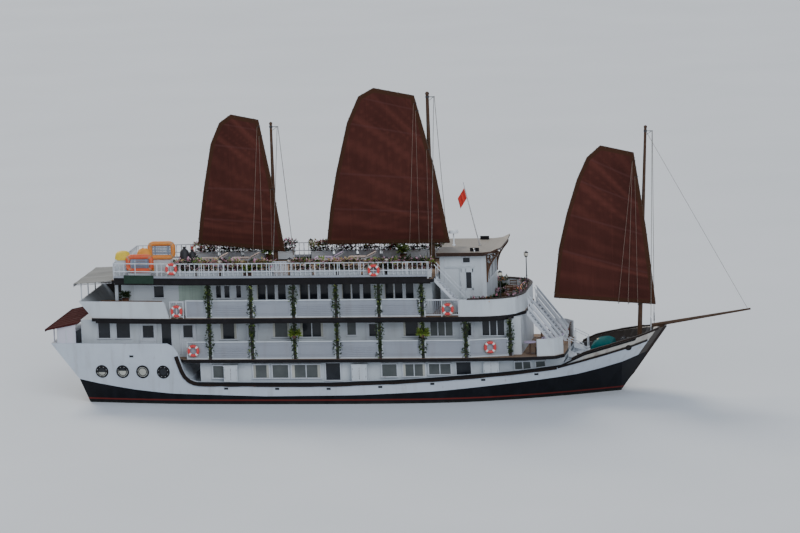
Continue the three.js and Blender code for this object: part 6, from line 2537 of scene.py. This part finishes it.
@dataclass
class Stern:
    """The awning with its valance, the canopy's ribs and screens, and the stern gear."""

    aft: float = -17.0
    fore: float = -14.5
    half: float = 3.2
    drop: int = 5
    columns: int = 56
    rows: int = 30

    def top(self, x: float) -> float:
        """Gives the height of the awning's upper side."""
        return 7.62 - 0.18 * (self.fore - x) / (self.fore - self.aft)

    def awning_point(self, i: int, y: float) -> Vector:
        """Gives one point of the awning.

        Args:
            i: its row, from the aft edge on; the rows below 0 hang down as the valance.
            y: its place abeam.

        Returns:
            The point.
        """
        if i < 0:
            low = -i / self.drop
            scallop = 0.24 - 0.05 * abs(math.sin(math.pi * (y + 3.2) / 0.4))
            x = self.aft - 0.01 + 0.02 * math.sin(y * 9.0) * low
            return Vector((x, y, self.top(self.aft) - scallop * low))
        u = i / self.rows
        x = self.aft + (self.fore - self.aft) * u
        bay = abs(math.sin(math.pi * (y + 3.0) / 2.0))
        sag = 0.085 * math.sin(math.pi * u) * (0.35 + 0.65 * bay) + 0.02 * bay * (1 - u)
        return Vector((x, y, self.top(x) - sag))

    def awning(self) -> None:
        """Makes the stretched awning with its hanging valance, and the pipes under it."""
        shape, pipes = Shape(), Shape()
        shape.grid([[self.awning_point(i, y) for y in spaced(-self.half, self.half, self.columns + 1)]
                    for i in range(-self.drop, self.rows + 1)])
        piece = shape.cloth("stern_awning_cloth", AWNING, 0.005, smooth=50)
        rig.replaces(piece, "stern_awning")
        size = ((self.fore - self.aft + 0.25) * SHIP_SCALE, 2 * self.half * SHIP_SCALE)
        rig.sheet(piece, flat=size, held="stretched", rests_on=["stern_bulwark", "sun_deck"])
        x, level = self.aft + 0.04, self.top(self.aft)
        for y in (-3.15, -1.05, 1.05, 3.15):
            pipes.tube([Vector((x, y, level - 0.09)),
                        Vector((self.fore - 0.01, y, self.top(self.fore) - 0.16))], 0.025, 8)
        pipes.tube([Vector((x, y, level - 0.075)) for y in (-3.17, 3.17)], 0.028, 8)
        pipes.build("stern_awning_pipes", [STEEL], smooth=60)

    @staticmethod
    def ribs() -> None:
        """Makes the canopy's ribs, its eaves board and the panels of its screens."""
        shape, frames = Shape(), Shape()
        ribs = [(y, 0.004, 0.018) for y in spaced(-3.6, 3.6, 9)] + [(-3.7, 0.0, 0.04), (3.7, 0.0, 0.04)]
        for y, lift, radius in ribs:
            ends = [Probe.top("stern_canopy", x, y) + UPWARD * lift for x in (-18.72, -16.8)]
            shape.tube(ends, radius, 6)
        eave = Probe.top("stern_canopy", -18.74, 0.0).z
        board = Place(Vector((-18.79, 0.0, eave)), ABEAM, UPWARD, -ALONG)
        shape.block(board, (-3.8, 3.8), (-0.12, 0.02), (-0.03, 0.02))
        shape.build("stern_canopy_ribs", [CANOPY_RIBS], bevel=0.004, smooth=50)
        for side, x in product(SIDES, (-18.02, -17.5, -16.98)):
            y = Probe.side("stern_canopy", x, 4.2, side).y
            place = upright(x, y, 3.81, 0 if side < 0 else 180)
            frames.block(place, (-0.035, 0.035), (0.0, 0.80), (-0.01, 0.03))
        frames.build("stern_screen_frames", [HOUSE_WHITE], bevel=0.004)

    @staticmethod
    def shades() -> None:
        """Makes the slatted blind on the awning's port side, whose dark timber also stands in as painted shade under
        the awning, and the benches along the bulwark.
        """
        blind, bench = Shape(), Shape()
        place = upright(-15.72, 3.15, 6.45)
        blind.blocks(place, [(-1.2, 1.2)], spans([i * 0.064 for i in range(14)], 0.05), (-0.006, 0.006))
        blind.blocks(place, spans((-1.1, 0.0, 1.07), 0.03), [(0.0, 0.90)], (-0.012, 0.012))
        # the dark blind also serves as painted shade under the awning
        blind.build("stern_port_blind", [ROOF_TIMBER])
        for side in SIDES:
            seat = upright(-15.0, side * 3.3, DECK_3)
            bench.block(seat, (-0.9, 0.9), (0.38, 0.44), (-0.25, 0.25))
            bench.blocks(seat, spans((-0.8, -0.03, 0.74), 0.06), [(0.0, 0.38)], (-0.22, 0.22))
        bench.build("stern_benches", [JOINERY], bevel=0.006)

    @staticmethod
    def side_screens() -> None:
        """Makes the wall panels and the posts that carry the sun deck's aft corners."""
        shape = Shape()
        for side, (x, half, out) in product(SIDES, ((-13.69, 0.38, 0.03), (-14.36, 0.10, 0.10))):
            head = Probe.hit("sun_deck", Vector((x, side * 2.87, 6.0)), UPWARD)
            place = upright(x, side * 2.87, DECK_3)
            shape.block(place, (-half, half), (0.0, head.z - DECK_3), (-out, out))
        shape.build("stern_side_screens", [HOUSE_WHITE], bevel=0.006)

    @staticmethod
    def gear() -> None:
        """Makes the deck gear under the awning and along the stern bulwark."""
        Bush(120, 0.34, 0.22).potted("stern_plant", random.Random(SEED + 4), upright(-13.75, -3.25, 6.12),
                                     [LEAVES, PETALS])
        box, rail = Shape(), Shape()
        box.block(upright(-13.75, -3.25, DECK_3), (-0.2, 0.2), (0.0, 0.765), (-0.2, 0.2))
        place = upright(-14.7, 1.2, DECK_3)
        box.block(place, (-0.6, 0.6), (0.0, 0.7), (-0.3, 0.3))
        box.block(place, (-0.63, 0.63), (0.7, 0.76), (-0.33, 0.33))
        box.build("stern_locker", [HOUSE_WHITE], bevel=0.01)
        table("stern_table", upright(-14.6, -1.6, DECK_3), 0.45)
        Chair().build("stern_chair_1", upright(-14.6, -2.3, DECK_3))
        Chair().build("stern_chair_2", upright(-14.6, -0.9, DECK_3, 180.0))
        for side in SIDES:
            rail.tube([Vector((x, Probe.side("stern_bulwark", x, 6.2, side).y - side * 0.05, 6.43))
                       for x in (-11.3, -12.0, -12.8, -13.6, -14.4, -15.2)], 0.03, 8)
        rail.build("stern_bulwark_rail", [RAIL_TIMBER], smooth=60)

    def build(self) -> None:
        """Makes the fittings."""
        self.awning()
        self.side_screens()
        self.shades()
        self.ribs()
        self.gear()


@dataclass
class Flag:
    """The plain red flag at the head of the leaning pole."""

    head: Point = (7.0808, 0.0, 12.65)
    lean: float = 0.2308
    fly: float = 1.0
    hoist: float = 0.66

    def point(self, u: float, v: float) -> Vector:
        """Gives a point of the hanging cloth, a distance along the fly and one down the hoist."""
        fold = 0.062 * math.sin(u * 15.7 + v * 1.2) * min(1.0, u / 0.15)
        down = v * 0.974
        return Vector(self.head) + Vector((down * self.lean - u * 0.42 - 0.03, -fold, -u * 0.66 - down))

    def build(self) -> None:
        """Makes the flag and its halyard."""
        shape, line = Shape(), Shape()
        shape.grid([[self.point(u, v) for v in spaced(0.0, self.hoist, 25)]
                    for u in spaced(0.0, self.fly, 41)])
        piece = shape.cloth("pole_flag", FLAG, 0.003)
        size = (self.fly * SHIP_SCALE, self.hoist * SHIP_SCALE)
        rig.sheet(piece, flat=size, held="hung", rests_on=["flagpole"])
        line.tube([Vector(self.head) + Vector((-0.044, -0.012, 0.04)), Vector((7.75, -0.012, 9.6))], 0.006, 5)
        line.build("flag_halyard", [ROPE])


def dress_frame() -> None:
    """Gives each built part its finish."""
    for finish, names in NODE_FINISHES.items():
        for node in sorted({name.replace("*", side) for name in names.split() for side in SIDES.values()}):
            mesh = frame["nodes"][node].data
            hull = node.startswith(("hull", "rub_rail"))
            dress_mesh(mesh, [finish], [0] * len(mesh.polygons), 50.0 if hull else 30.0)


def write_sizes() -> None:
    boxes = {"cad": [list(corner) for corner in CAD_BOX], "visual": [list(corner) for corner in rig.bounds()]}
    with open(SIZE_FILE, "w", encoding="utf-8") as file:
        json.dump(boxes, file)


def main() -> None:
    """Dresses the ship and sets up the studio."""
    logging.basicConfig(level=logging.INFO, format="%(message)s")
    Studio().build()
    dress_frame()
    rafts = (Float("raft_outer", (-12.75, -3.33, 8.1012)),
             Float("raft_inner", (-11.7, -1.65, 8.6512), FLOAT_AMBER))
    for group in (*SAILS, *HOUSE_LIGHTS, HullTrim(), DeckEdges(), Galleries(), SideRails(), SunDeck(), *rafts,
                  Wheelhouse(), Terrace(), Foredeck(), Stern(), Flag(), Standing()):
        group.build()
    write_sizes()


if __name__ == "__main__":
    main()
